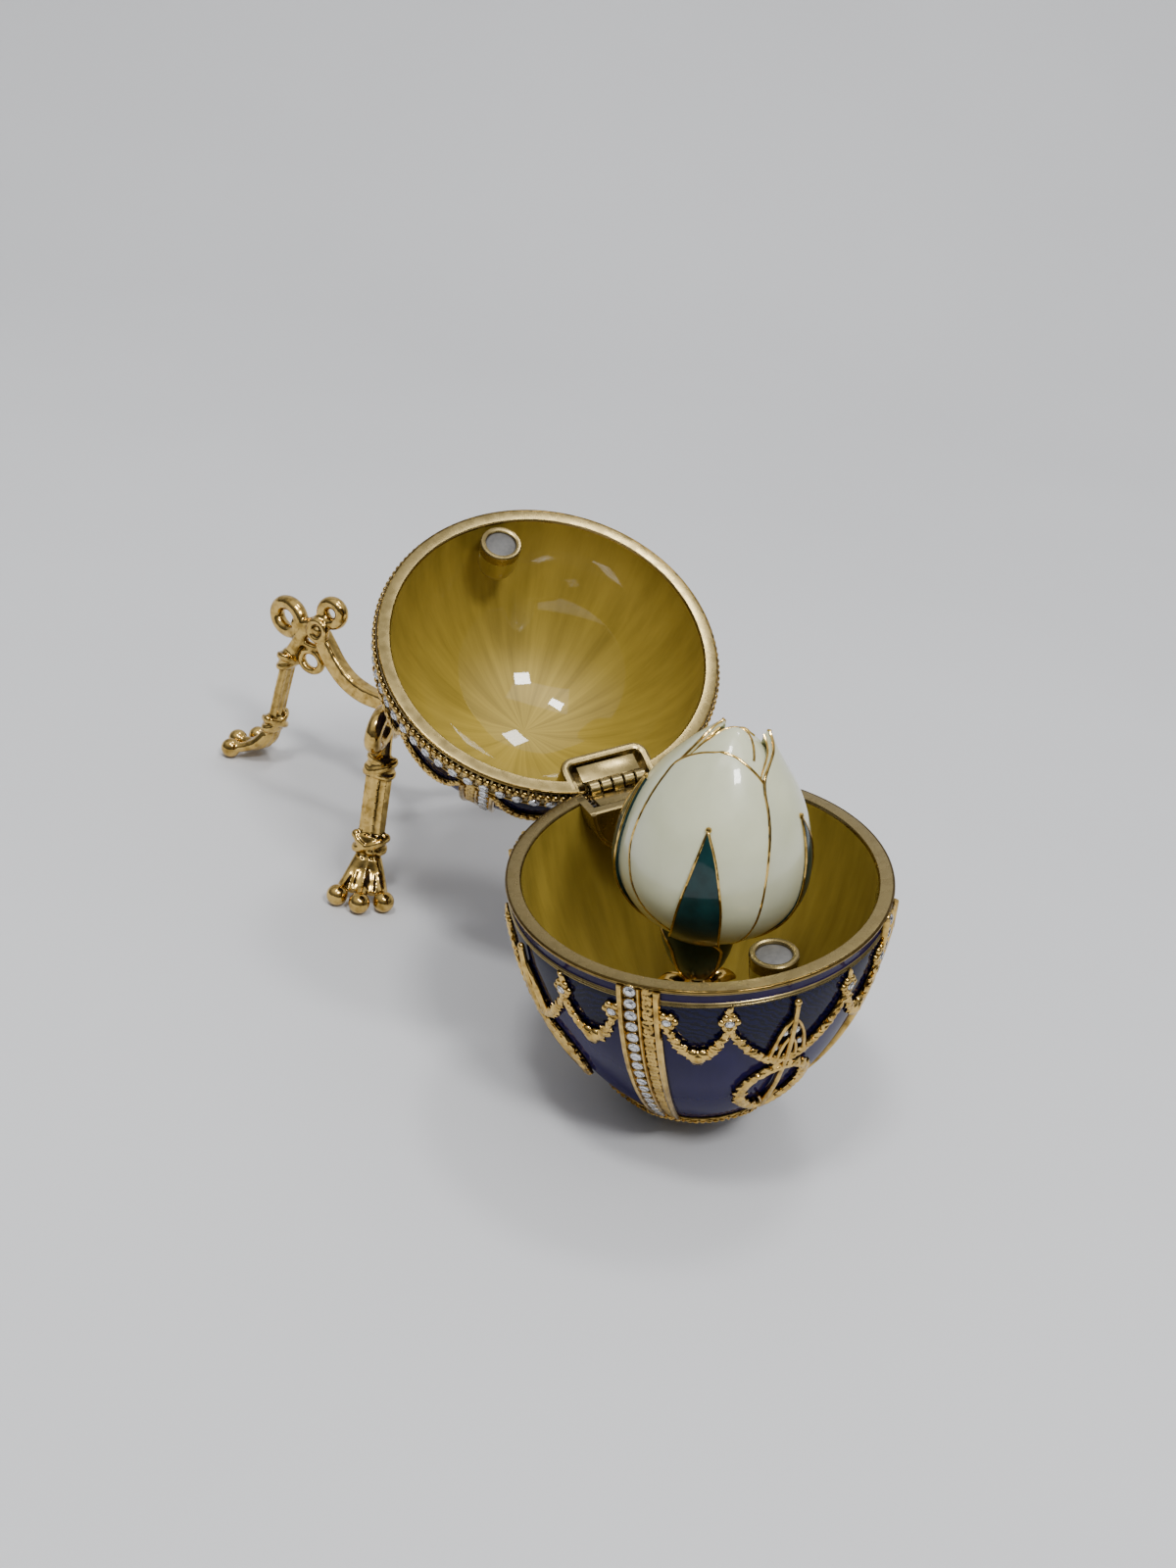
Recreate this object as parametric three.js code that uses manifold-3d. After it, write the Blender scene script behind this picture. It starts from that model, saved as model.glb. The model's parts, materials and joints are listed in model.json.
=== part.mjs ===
// Jewelled egg trinket box: an enamelled egg that opens on a small hinge, with a rosebud
// inside it, shown open beside the tripod stand that holds it when it is shut.
// Millimetres, +Z up. The origin is on the table, under the spot that the egg stands on.

import * as THREE from 'three';
import { mergeVertices } from 'three/addons/utils/BufferGeometryUtils.js';
import Module from 'manifold-3d';

const wasm = await Module();
wasm.setup();

// ---- driving dimensions -------------------------------------------------------------

const rimRadius = 30;
const baseDepth = 45;
const lidDepth = 30;
const wall = 2.3;
const clearance = 0.3;
const shellSegments = 24;
const innerRings = 5;
const outerRings = 6;

// The deep half is more pointed than an ellipse; the lid is a plain half ball.
const basePower = 0.568;
const baseTaper = 0.08;

// How the open egg stands: its rim centre over the table, leaning to one side.
const eggPlace = new THREE.Vector3(-6.7, 0, 44.3);
const eggLean = THREE.MathUtils.degToRad(-11.1);

// Hinge, at the back of the rim. The lid is modelled shut, then turned open.
const hingeY = 29.4;
const openAngle = THREE.MathUtils.degToRad(151.4);
const hingeWidth = 10.6;
const knuckleCount = 5;
const knuckleRadius = 1.35;
const pinRadius = 0.55;
const notchWidth = 13.2;
const notchFront = 24.2;
const notchDepth = 3.4;

const plateThickness = 0.8;
const plateInset = 0.4;
const frameHalfWidth = 8;
const frameThickness = 8;
const apronDrop = 9;
const surroundHeight = 5.4;

// Magnets, opposite the hinge
const magnetRadius = 3;
const magnetThickness = 2;
const magnetPlace = 23.2;
const bossRadius = 3.8;
const bossHeight = 7;
const bossRoot = 6;

// Relief on the outside
const bandAngles = [45, 135, 225, 315];
const bandWidth = 5.8;
const reliefHeight = 0.55;
const reliefRoot = 0.5;
const panelAngles = [0, 90, 180, 270];

// Rosebud, from its neck up, with its cup and its gold stem
const budNeckZ = -9.5;
const budWaistZ = 3;
const budTopZ = 26.3;
const budRadius = 14.4;
const budRows = 8;
const budSides = 18;
const petalCount = 3;
const petalStep = 0.5;
const budLean = THREE.MathUtils.degToRad(8.7);
const budLeanTowards = THREE.MathUtils.degToRad(-25.4);
const cupRadius = 5.3;
const cupFootRadius = 1.4;
const cupLap = 1.2;
const cupBottomZ = -20;
const leafCount = 5;

// Tripod stand
const standPlace = new THREE.Vector3(-16.6, 100.5, 0);
const legCount = 3;
const firstLegAngle = 122.5;
const hubRadius = 3.6;
const hubZ = 24.2;
const toeRadius = 1.8;
const toeSpread = 4.1;
const sideToeReach = 37.5;
const middleToeReach = 39.3;

// ---- solids -------------------------------------------------------------------------

// A closed geometry as a solid: corners merged, empty faces dropped, faces turned out
function solid(geometry) {
  const bare = geometry.clone();
  bare.deleteAttribute('normal');
  bare.deleteAttribute('uv');
  const merged = mergeVertices(bare, 1e-4);
  const place = merged.attributes.position;
  const corner = [new THREE.Vector3(), new THREE.Vector3(), new THREE.Vector3()];
  const faces = [];
  let volume = 0;
  for (let i = 0; i < merged.index.count; i += 3) {
    const face = [0, 1, 2].map((k) => merged.index.getX(i + k));
    if (new Set(face).size < 3) continue;
    face.forEach((vertex, k) => corner[k].fromBufferAttribute(place, vertex));
    volume += corner[0].dot(corner[1].clone().cross(corner[2]));
    faces.push(face);
  }
  if (volume < 0) faces.forEach((face) => face.reverse());
  return new wasm.Manifold(new wasm.Mesh({
    numProp: 3,
    vertProperties: new Float32Array(place.array),
    triVerts: new Uint32Array(faces.flat()),
  }));
}

function joined(geometries) {
  return geometries.map(solid).reduce((sum, body) => sum.add(body));
}

function toGeometry(body) {
  const mesh = body.getMesh();
  const geometry = new THREE.BufferGeometry();
  geometry.setAttribute('position', new THREE.BufferAttribute(mesh.vertProperties, 3));
  geometry.setIndex(new THREE.BufferAttribute(mesh.triVerts, 1));
  geometry.computeVertexNormals();
  return geometry;
}

// A closed outline of [radius, z] points turned about the Z axis
function turned(outline, segments) {
  const points = outline.map(([r, z]) => new THREE.Vector2(Math.max(r, 0), z));
  return new THREE.LatheGeometry(points, segments).rotateX(Math.PI / 2);
}

function block(width, depth, height, x, y, z) {
  return new THREE.BoxGeometry(width, depth, height).translate(x, y, z);
}

function ball(radius, x, y, z) {
  return new THREE.SphereGeometry(radius, 6, 4).rotateX(Math.PI / 2).translate(x, y, z);
}

// A section swept along a row of stations. Each station has a point, the direction that
// is up there, and how much the section is widened and thickened. A ring has no ends.
function swept(stations, section, isRing = false) {
  const count = stations.length;
  const positions = [];
  stations.forEach((station, i) => {
    const before = stations[isRing ? (i + count - 1) % count : Math.max(i - 1, 0)].point;
    const after = stations[isRing ? (i + 1) % count : Math.min(i + 1, count - 1)].point;
    const along = after.clone().sub(before).normalize();
    const side = along.clone().cross(station.up).normalize();
    const up = side.clone().cross(along);
    for (const [s, h] of section) {
      const corner = station.point.clone();
      corner.addScaledVector(side, s * (station.wide ?? 1));
      corner.addScaledVector(up, h * (station.thick ?? 1));
      positions.push(...corner);
    }
  });
  const sides = section.length;
  const faces = [];
  for (let i = 0; i < (isRing ? count : count - 1); i++) {
    const here = i * sides;
    const next = ((i + 1) % count) * sides;
    for (let k = 0; k < sides; k++) {
      const l = (k + 1) % sides;
      faces.push(here + k, here + l, next + l, here + k, next + l, next + k);
    }
  }
  if (!isRing) {
    const last = (count - 1) * sides;
    for (let k = 1; k < sides - 1; k++) {
      faces.push(0, k + 1, k);
      faces.push(last, last + k, last + k + 1);
    }
  }
  const geometry = new THREE.BufferGeometry();
  geometry.setAttribute('position', new THREE.Float32BufferAttribute(positions, 3));
  geometry.setIndex(faces);
  return geometry;
}

// Sections: a flat raised strip, a ridged cord rooted in the surface, a full oval
const stripSection = (width) => [
  [-width / 2, -reliefRoot], [width / 2, -reliefRoot], [width / 2, reliefHeight], [-width / 2, reliefHeight],
];
const cordSection = (width, height) => [
  [-width / 2, -reliefRoot / 2], [width / 2, -reliefRoot / 2], [0, height],
];

function ovalSection(halfWidth, halfHeight, sides = 5) {
  const section = [];
  for (let k = 0; k < sides; k++) {
    const angle = (2 * Math.PI * (k + 0.5)) / sides;
    section.push([halfWidth * Math.cos(angle), halfHeight * Math.sin(angle)]);
  }
  return section;
}

// ---- the egg's two surfaces ---------------------------------------------------------

function baseRadius(depth, rim = rimRadius, full = baseDepth) {
  const s = Math.min(depth / full, 1);
  return rim * (1 - s * s) ** basePower * (1 - baseTaper * s);
}

function lidRadius(height, rim = rimRadius, full = lidDepth) {
  const s = Math.min(height / full, 1);
  return rim * Math.sqrt(1 - s * s);
}

// A station on either half: level is the distance from the rim, angle in degrees
function station(radiusAt, direction, level, angle) {
  const a = THREE.MathUtils.degToRad(angle);
  const step = 0.05;
  const slope = (radiusAt(level + step) - radiusAt(level - step)) / (2 * step);
  const r = radiusAt(level);
  const point = new THREE.Vector3(r * Math.cos(a), r * Math.sin(a), direction * level);
  const up = new THREE.Vector3(Math.cos(a), Math.sin(a), -direction * slope).normalize();
  return { point, up };
}

const onBase = (depth, angle) => station(baseRadius, -1, depth, angle);
const onLid = (height, angle) => station(lidRadius, 1, height + clearance, angle);

// Levels from the rim to the pole, closer together where the surface turns in
function levels(full, count) {
  return Array.from({ length: count + 1 }, (_, i) => full * Math.sin((Math.PI / 2) * (i / count)));
}

// Shell wall: up the inside, over the rim, past the mouldings, down the outside
function shellOutline(radiusAt, full, direction, rimZ, mouldings) {
  const inner = levels(full - wall, innerRings).reverse();
  const outer = levels(full, outerRings).filter((level) => level > mouldings.at(-1)[0] + 1);
  return [
    ...inner.map((level) => [radiusAt(level, rimRadius - wall, full - wall), rimZ + direction * level]),
    [rimRadius, rimZ],
    ...mouldings.map(([level, lift]) => [radiusAt(level) + lift, rimZ + direction * level]),
    ...outer.map((level) => [radiusAt(level), rimZ + direction * level]),
  ];
}

// Gold line, sunk stripe and second gold line round the base; bead roll round the lid
const baseMouldings = [[0.9, 0.05], [1.1, -0.3], [2.3, -0.3], [2.5, 0.15], [3.4, 0]];
const lidMouldings = [[1.2, 0], [1.6, 0.45], [4.8, 0.5], [5.2, 0]];

// Hanging curves side by side, each from the end level down to its own lowest level
function festoon(on, spans, endLevel, section) {
  const stations = [];
  spans.forEach(({ from, to, low, steps }, n) => {
    for (let i = n ? 1 : 0; i <= steps; i++) {
      const t = (2 * i) / steps - 1;
      const level = low + (endLevel - low) * t * t;
      stations.push({ ...on(level, from + ((to - from) * i) / steps), wide: 1.25 - 0.4 * Math.abs(t) });
    }
  });
  return swept(stations, section);
}

function rising(on, angle, fromLevel, toLevel, steps, section, wideAt) {
  const stations = [];
  for (let i = 0; i <= steps; i++) {
    const t = i / steps;
    stations.push({ ...on(fromLevel + (toLevel - fromLevel) * t, angle), wide: wideAt(t) });
  }
  return swept(stations, section);
}

// One panel of the base: a small swag, a large one and a small one side by side, and a
// wreath below the large swag that an upright arrow passes through
function basePanel(middle) {
  const swagTop = 7.4;
  const [largeReach, largeLow] = [19.6, 16.5];
  const [smallReach, smallLow] = [37, 13];
  const swags = [
    { from: middle - smallReach, to: middle - largeReach, low: smallLow, steps: 3 },
    { from: middle - largeReach, to: middle + largeReach, low: largeLow, steps: 5 },
    { from: middle + largeReach, to: middle + smallReach, low: smallLow, steps: 3 },
  ];
  return [
    festoon(onBase, swags, swagTop, cordSection(1.8, 0.9)),
    rising(onBase, middle, 4.4, 30, 3, cordSection(1, 1.3), () => 1),
    wreath(middle),
  ];
}

function wreath(middle) {
  const centreDepth = 24.6;
  const halfDepth = 6.6;
  const halfAngle = 15.5;
  const steps = 8;
  const stations = [];
  for (let i = 0; i < steps; i++) {
    const turn = (2 * Math.PI * i) / steps;
    stations.push(onBase(centreDepth + halfDepth * Math.cos(turn), middle + halfAngle * Math.sin(turn)));
  }
  return swept(stations, cordSection(2.1, 0.8), true);
}

// A shallow turned boss where the four bands meet at the bottom of the base
function poleRosette() {
  const edge = 8;
  const rise = 0.6;
  const root = 2;
  const edgeHeight = 1.2;
  const steps = 3;
  const outline = [[0, -baseDepth + root]];
  for (let i = 0; i <= steps; i++) {
    const r = edge * (1 - i / steps);
    const depth = baseDepth - (0.35 * r * r) / edge;
    outline.push([r, -depth - rise * (1 - i / steps / 4) + (i ? 0 : edgeHeight)]);
  }
  return turned(outline, 12);
}

// ---- hinge and magnet seats, shared by both halves ----------------------------------

// What a half adds inside its rim: a boss for the magnet and a frame round the hinge,
// both kept inside the outer surface
function innerBosses(outerBody, rimZ, direction, hingeFrame) {
  const middleZ = rimZ + (direction * bossHeight) / 2;
  const magnetBoss = new THREE.CylinderGeometry(bossRadius, bossRadius, bossHeight, 14)
    .rotateX(Math.PI / 2)
    .translate(0, -magnetPlace, middleZ);
  const wallSide = block(bossRadius * 2, bossRoot, bossHeight, 0, -magnetPlace - bossRoot / 2, middleZ);
  return joined([magnetBoss, wallSide, hingeFrame]).intersect(outerBody);
}

// What a half loses at its rim: the magnet's pocket and the notch for the hinge
function rimPockets(rimZ, direction) {
  const pocketDepth = magnetThickness + clearance;
  const pocketRadius = magnetRadius + clearance;
  const pocket = new THREE.CylinderGeometry(pocketRadius, pocketRadius, 2 * pocketDepth, 14)
    .rotateX(Math.PI / 2)
    .translate(0, -magnetPlace, rimZ);
  const notchLength = 10;
  const notch = block(notchWidth, notchLength, 2 * notchDepth, 0, notchFront + notchLength / 2, rimZ);
  return joined([pocket, notch]);
}

// The base's hinge frame is a rounded apron; the lid's is a plain rectangle
function hingeApron() {
  const shape = new THREE.Shape();
  shape.moveTo(-frameHalfWidth, 0);
  shape.absellipse(0, 0, frameHalfWidth, apronDrop, Math.PI, 2 * Math.PI, false);
  shape.closePath();
  return new THREE.ExtrudeGeometry(shape, { depth: frameThickness, bevelEnabled: false, curveSegments: 8 })
    .rotateX(Math.PI / 2)
    .translate(0, rimRadius, 0);
}

function hingeSurround() {
  const middleY = rimRadius - frameThickness / 2;
  return block(2 * frameHalfWidth, frameThickness, surroundHeight, 0, middleY, clearance + surroundHeight / 2);
}

function magnetDisc(rimZ, direction) {
  return new THREE.CylinderGeometry(magnetRadius, magnetRadius, magnetThickness, 14)
    .rotateX(Math.PI / 2)
    .translate(0, -magnetPlace, rimZ + (direction * magnetThickness) / 2);
}

// A leaf plate lying in the notch, with its share of the knuckles round the pin
function hingeLeaf(firstKnuckle, direction) {
  const plateFront = notchFront + plateInset;
  const plateBack = hingeY - knuckleRadius - plateInset;
  const plateZ = clearance / 2 + direction * (clearance / 2 + plateThickness / 2 + 0.15);
  const parts = [
    block(hingeWidth, plateBack - plateFront, plateThickness, 0, (plateFront + plateBack) / 2, plateZ),
  ];
  const pitch = hingeWidth / knuckleCount;
  for (let i = firstKnuckle; i < knuckleCount; i += 2) {
    const x = (i - (knuckleCount - 1) / 2) * pitch;
    parts.push(new THREE.CylinderGeometry(knuckleRadius, knuckleRadius, pitch - clearance, 8)
      .rotateZ(Math.PI / 2)
      .translate(x, hingeY, clearance / 2));
    const tabLength = hingeY - plateBack;
    parts.push(block(pitch - clearance, tabLength, plateThickness, x, hingeY - tabLength / 2 - 0.3, plateZ));
  }
  const boreRadius = pinRadius + clearance;
  const bore = new THREE.CylinderGeometry(boreRadius, boreRadius, 2 * hingeWidth, 8)
    .rotateZ(Math.PI / 2)
    .translate(0, hingeY, clearance / 2);
  return joined(parts).subtract(solid(bore));
}

function hingePin() {
  return new THREE.CylinderGeometry(pinRadius, pinRadius, hingeWidth, 8)
    .rotateZ(Math.PI / 2)
    .translate(0, hingeY, clearance / 2);
}

// ---- the two halves -----------------------------------------------------------------

function outerBody(outline) {
  const axisEnds = [[0, outline[0][1]], ...outline.slice(innerRings + 1), [0, outline.at(-1)[1]]];
  const rimZ = outline[innerRings + 1][1];
  return solid(turned([[0, rimZ], ...axisEnds.slice(1)], shellSegments));
}

function baseShell(underTable) {
  const outline = shellOutline(baseRadius, baseDepth, -1, 0, baseMouldings);
  const relief = bandAngles.map((angle) => rising(
    onBase, angle, 0.3, baseDepth - 1.5, 5, stripSection(bandWidth), (t) => 1.02 - 0.72 * t ** 3,
  ));
  panelAngles.forEach((angle) => relief.push(...basePanel(angle)));
  relief.push(poleRosette());
  return solid(turned(outline, shellSegments))
    .add(joined(relief))
    .add(innerBosses(outerBody(outline), 0, -1, hingeApron()))
    .subtract(rimPockets(0, -1))
    .subtract(underTable);
}

function lidShell() {
  const outline = shellOutline(lidRadius, lidDepth, 1, clearance, lidMouldings);
  const relief = bandAngles.map((angle) => rising(
    onLid, angle, 5, lidDepth - 1, 4, stripSection(bandWidth), (t) => 1 - 0.7 * t ** 3,
  ));
  const scallopWidth = 26;
  for (const middle of panelAngles) {
    const scallops = [-1.5, -0.5, 0.5].map((n) => (
      { from: middle + n * scallopWidth, to: middle + (n + 1) * scallopWidth, low: 11.5, steps: 3 }
    ));
    relief.push(festoon(onLid, scallops, 5, cordSection(1.6, 0.9)));
  }
  return solid(turned(outline, shellSegments))
    .add(joined(relief))
    .add(innerBosses(outerBody(outline), clearance, 1, hingeSurround()))
    .subtract(rimPockets(clearance, 1));
}

// ---- rosebud ------------------------------------------------------------------------

// Bud radius by height and angle: a full waist, a drawn-in top, and three petals that
// each lap over the next
function budRadiusAt(z, angle) {
  const lower = 13.4;
  const s = z < budWaistZ ? (budWaistZ - z) / lower : (z - budWaistZ) / (budTopZ - budWaistZ);
  const plain = budRadius * (1 - s * s) ** (z < budWaistZ ? 0.5 : 0.8);
  const swirl = z > budWaistZ ? s * 0.9 : 0;
  const turn = (angle / (2 * Math.PI)) * petalCount + swirl;
  const lap = turn - Math.floor(turn);
  return plain + (plain > petalStep ? petalStep * (lap - 0.5) * Math.min(1, plain / 6) : 0);
}

// Rows of points up the closed bud, from a point at its neck to a point at its tip
function petals() {
  const tipHeight = 0.6;
  const positions = [];
  const faces = [];
  for (let row = 0; row <= budRows; row++) {
    const z = budNeckZ + (budTopZ - tipHeight - budNeckZ) * (row / budRows);
    for (let k = 0; k < budSides; k++) {
      const angle = (2 * Math.PI * k) / budSides;
      const r = budRadiusAt(z, angle);
      positions.push(r * Math.cos(angle), r * Math.sin(angle), z);
    }
  }
  for (let row = 0; row < budRows; row++) {
    for (let k = 0; k < budSides; k++) {
      const here = row * budSides + k;
      const next = row * budSides + ((k + 1) % budSides);
      faces.push(here, next, next + budSides, here, next + budSides, here + budSides);
    }
  }
  const bottom = positions.length / 3;
  positions.push(0, 0, budNeckZ, 0, 0, budTopZ);
  const topRow = budRows * budSides;
  for (let k = 0; k < budSides; k++) {
    const l = (k + 1) % budSides;
    faces.push(l, k, bottom, topRow + k, topRow + l, bottom + 1);
  }
  const bud = new THREE.BufferGeometry();
  bud.setAttribute('position', new THREE.Float32BufferAttribute(positions, 3));
  bud.setIndex(faces);
  return bud;
}

// The bud leans about its neck, while its cup stays upright
function leaned(geometry) {
  const axis = new THREE.Vector3(-Math.sin(budLeanTowards), Math.cos(budLeanTowards), 0);
  const turn = new THREE.Matrix4().makeRotationAxis(axis, budLean);
  return geometry.translate(0, 0, -budNeckZ).applyMatrix4(turn).translate(0, 0, budNeckZ);
}

function budCup() {
  const steps = 4;
  const topZ = budNeckZ + cupLap;
  const outline = [[0, topZ], [cupRadius * 0.9, topZ]];
  for (let i = 0; i <= steps; i++) {
    const t = i / steps;
    const r = cupFootRadius + (cupRadius - cupFootRadius) * Math.sqrt(1 - t * t);
    outline.push([r, budNeckZ + (cupBottomZ - budNeckZ) * t]);
  }
  outline.push([0, cupBottomZ]);
  return turned(outline, 14);
}

function rosebud() {
  return joined([leaned(petals()), budCup()]);
}

// Gold foot on the floor of the base, a stem, and a spray of leaves under the cup
function rosebudStem() {
  const footZ = -baseDepth + wall + 1.6;
  const topZ = cupBottomZ - clearance;
  const outline = [
    [0, footZ], [5, footZ], [4.6, footZ + 1], [2.4, footZ + 2.4], [1.7, footZ + 5],
    [1.5, topZ - 6], [2.6, topZ - 2.6], [2.6, topZ - 1.4], [1.3, topZ], [0, topZ],
  ];
  const parts = [turned(outline, 10)];
  for (let i = 0; i < leafCount; i++) {
    const angle = (2 * Math.PI * i) / leafCount;
    const out = new THREE.Vector3(Math.cos(angle), Math.sin(angle), 0);
    const up = new THREE.Vector3(0, 0, 1);
    const leaf = [[1, -2.4, 0.5], [3, -1.3, 1], [5.2, -1.2, 0.85], [7, -2.1, 0.15]].map(([r, z, wide]) => ({
      point: out.clone().multiplyScalar(r).setZ(topZ + z), up, wide,
    }));
    parts.push(swept(leaf, [[-1.6, -0.3], [1.6, -0.3], [0, 0.45]]));
  }
  return joined(parts);
}

// ---- tripod stand -------------------------------------------------------------------

// Legs are drawn in their own plane: X outward from the hub, Z up, Y across the leg
function legPath(points, section) {
  const up = new THREE.Vector3(0, 1, 0);
  const stations = points.map(([x, z, wide = 1, thick = 1]) => ({
    point: new THREE.Vector3(x, 0, z), up, wide, thick,
  }));
  return swept(stations, section);
}

function legLoop(x, z, halfWidth, halfHeight, tilt, tube) {
  const steps = 8;
  const up = new THREE.Vector3(0, 1, 0);
  const stations = [];
  for (let i = 0; i < steps; i++) {
    const turn = (2 * Math.PI * i) / steps;
    const point = new THREE.Vector3(halfWidth * Math.cos(turn), 0, halfHeight * Math.sin(turn));
    point.applyAxisAngle(up, -tilt).add(new THREE.Vector3(x, 0, z));
    stations.push({ point, up });
  }
  return swept(stations, ovalSection(tube, tube * 1.15, 4), true);
}

// Collar, tapering shaft, ankle collar and the foot that spreads to the toes
const shinStations = [
  [27.5, 26.2, 0.8, 0.75], [27.7, 25.4, 1.2, 1], [27.9, 23.8, 1.2, 1], [28, 22.8, 1, 0.95],
  [29.7, 11.8, 0.9, 0.95], [29.9, 10.8, 1.35, 1.15], [30.1, 9, 1.35, 1.15], [30.2, 8, 1, 1],
  [30.8, 5.4, 1, 1.15], [32.4, 3.2, 0.9, 1.4], [35, 2.3, 0.8, 1.75], [38.4, 1.8, 0.7, 1.9],
];
const armStations = [[hubRadius + clearance, hubZ], [8, 24.3], [12.5, 25.5], [16, 28], [21, 33.4]];
const strandStations = [[23.4, 33.8], [25.9, 29.5], [27.7, 24.6]];
const bowTieStations = [[26.6, 33.2], [23.6, 33.8], [20.6, 36.6]];
const barStations = [[25.6, 29.2], [18.4, 29.4]];

// An S-shaped arm from the hub, a bow of two loops with a knot, and a fluted shin
function leg() {
  const toes = [-toeSpread, 0, toeSpread].map((y) => (
    ball(toeRadius, y ? sideToeReach : middleToeReach, y, toeRadius)
  ));
  const bow = [
    legLoop(29.6, 33.4, 3.9, 3, 0.15, 1.5),
    legLoop(18.4, 38.2, 2.6, 2.2, 0.5, 1.3),
    ball(1.9, 21.2, 0, 33.4),
  ];
  return joined([
    legPath(armStations, ovalSection(1.75, 1.75)),
    legPath(strandStations, ovalSection(1.35, 1.55)),
    legPath(bowTieStations, ovalSection(1.4, 1.6)),
    legPath(barStations, ovalSection(0.9, 1.1)),
    legPath(shinStations, ovalSection(1.85, 2.8)),
    legLoop(22.2, 26.5, 2.7, 2.3, 0, 0.9),
    ...bow,
    ...toes,
  ]);
}

function standHub() {
  const outline = [[0, 21.6], [2.2, 21.8], [hubRadius, 22.8], [hubRadius, 25.6], [2.4, 26.4], [0, 26.6]];
  return turned(outline, 12);
}

// ---- assembly -----------------------------------------------------------------------

function metal(color, roughness) {
  return new THREE.MeshStandardMaterial({ color, roughness, metalness: 1 });
}

function enamel(color) {
  return new THREE.MeshStandardMaterial({ color, roughness: 0.25, metalness: 0.1 });
}

function piece(name, shape, material, parent) {
  const geometry = shape.isBufferGeometry ? toGeometry(solid(shape)) : toGeometry(shape);
  const mesh = new THREE.Mesh(geometry, material);
  mesh.name = name;
  parent.add(mesh);
  return mesh;
}

const eggBox = new THREE.Group();

const egg = new THREE.Group();
egg.position.copy(eggPlace);
egg.rotation.y = eggLean;
egg.updateMatrixWorld();
eggBox.add(egg);

const table = block(80, 80, 20, 0, 0, -10).applyMatrix4(egg.matrixWorld.clone().invert());
piece('base_shell', baseShell(solid(table)), enamel(0x2a2a5e), egg);
piece('base_magnet', magnetDisc(0, -1), metal(0x8d8c8a, 0.4), egg);
piece('base_hinge_leaf', hingeLeaf(0, -1), metal(0xb08a3e, 0.3), egg);
piece('hinge_pin', hingePin(), metal(0xb08a3e, 0.3), egg);
piece('rosebud', rosebud(), enamel(0xd8d8c4), egg);
piece('rosebud_stem', rosebudStem(), metal(0xb08a3e, 0.3), egg);

// The lid's parts are drawn shut, about the hinge axis, and turned open with the group
const lid = new THREE.Group();
lid.position.set(0, hingeY, clearance / 2);
lid.rotation.x = -openAngle;
egg.add(lid);

const shut = new THREE.Group();
shut.position.set(0, -hingeY, -clearance / 2);
lid.add(shut);

piece('lid_shell', lidShell(), enamel(0x2a2a5e), shut);
piece('lid_magnet', magnetDisc(clearance, 1), metal(0x8d8c8a, 0.4), shut);
piece('lid_hinge_leaf', hingeLeaf(1, 1), metal(0xb08a3e, 0.3), shut);

const stand = new THREE.Group();
stand.position.copy(standPlace);
eggBox.add(stand);
piece('stand_hub', standHub(), metal(0xb8924a, 0.3), stand);
for (let i = 0; i < legCount; i++) {
  const turn = THREE.MathUtils.degToRad(firstLegAngle + (360 / legCount) * i);
  piece(`stand_leg_${i + 1}`, leg(), metal(0xb8924a, 0.3), stand).rotation.z = turn;
}

export default eggBox;
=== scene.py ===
# %% [markdown]
# # A jewelled egg box with a rosebud in it
#
# The box is an enamelled egg that opens on a small hinge. It lies open beside the gold
# tripod that holds it when it is shut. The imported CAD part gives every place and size
# here, and this notebook makes the finer form and the finishes over it, piece by piece.

# %% Load the frame
import json
import math

import bpy
import numpy as np
from mathutils import Matrix, Vector

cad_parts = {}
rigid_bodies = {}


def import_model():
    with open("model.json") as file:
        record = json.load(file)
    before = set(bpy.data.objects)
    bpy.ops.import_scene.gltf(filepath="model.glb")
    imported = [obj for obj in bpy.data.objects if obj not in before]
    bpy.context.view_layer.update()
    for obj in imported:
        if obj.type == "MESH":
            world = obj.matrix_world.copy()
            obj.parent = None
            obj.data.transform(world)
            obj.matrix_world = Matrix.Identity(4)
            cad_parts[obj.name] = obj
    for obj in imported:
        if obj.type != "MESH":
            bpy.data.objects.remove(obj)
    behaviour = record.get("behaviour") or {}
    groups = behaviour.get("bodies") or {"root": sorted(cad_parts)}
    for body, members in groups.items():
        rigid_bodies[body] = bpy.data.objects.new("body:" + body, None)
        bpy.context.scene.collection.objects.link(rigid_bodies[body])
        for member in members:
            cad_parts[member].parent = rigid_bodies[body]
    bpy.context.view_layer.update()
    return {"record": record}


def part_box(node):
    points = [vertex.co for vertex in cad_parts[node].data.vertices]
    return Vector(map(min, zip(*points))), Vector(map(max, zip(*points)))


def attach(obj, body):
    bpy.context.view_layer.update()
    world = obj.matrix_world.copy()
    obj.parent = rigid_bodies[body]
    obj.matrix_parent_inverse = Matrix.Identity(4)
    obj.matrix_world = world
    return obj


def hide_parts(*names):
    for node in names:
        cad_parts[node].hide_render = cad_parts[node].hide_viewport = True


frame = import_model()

# %% [markdown]
# ## Frames of reference
#
# The egg leans, the lid is turned open and the stand has three legs, so each is easiest to
# draw upright in millimetres in a frame of its own. The hinge joint in the record says how
# the egg leans and how far the lid is open, which avoids measuring either again. The lid
# is drawn shut, above the rim, and is then turned about the pin. Each frame is kept with
# the body that moves with it.

# %% Egg, lid and stand frames
MM = 0.001
RIM = 30.0
BASE_DEPTH = 45.0
LID_DEPTH = 30.0
WALL = 2.3
GAP = 0.3
HINGE_Y = 29.4

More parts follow.
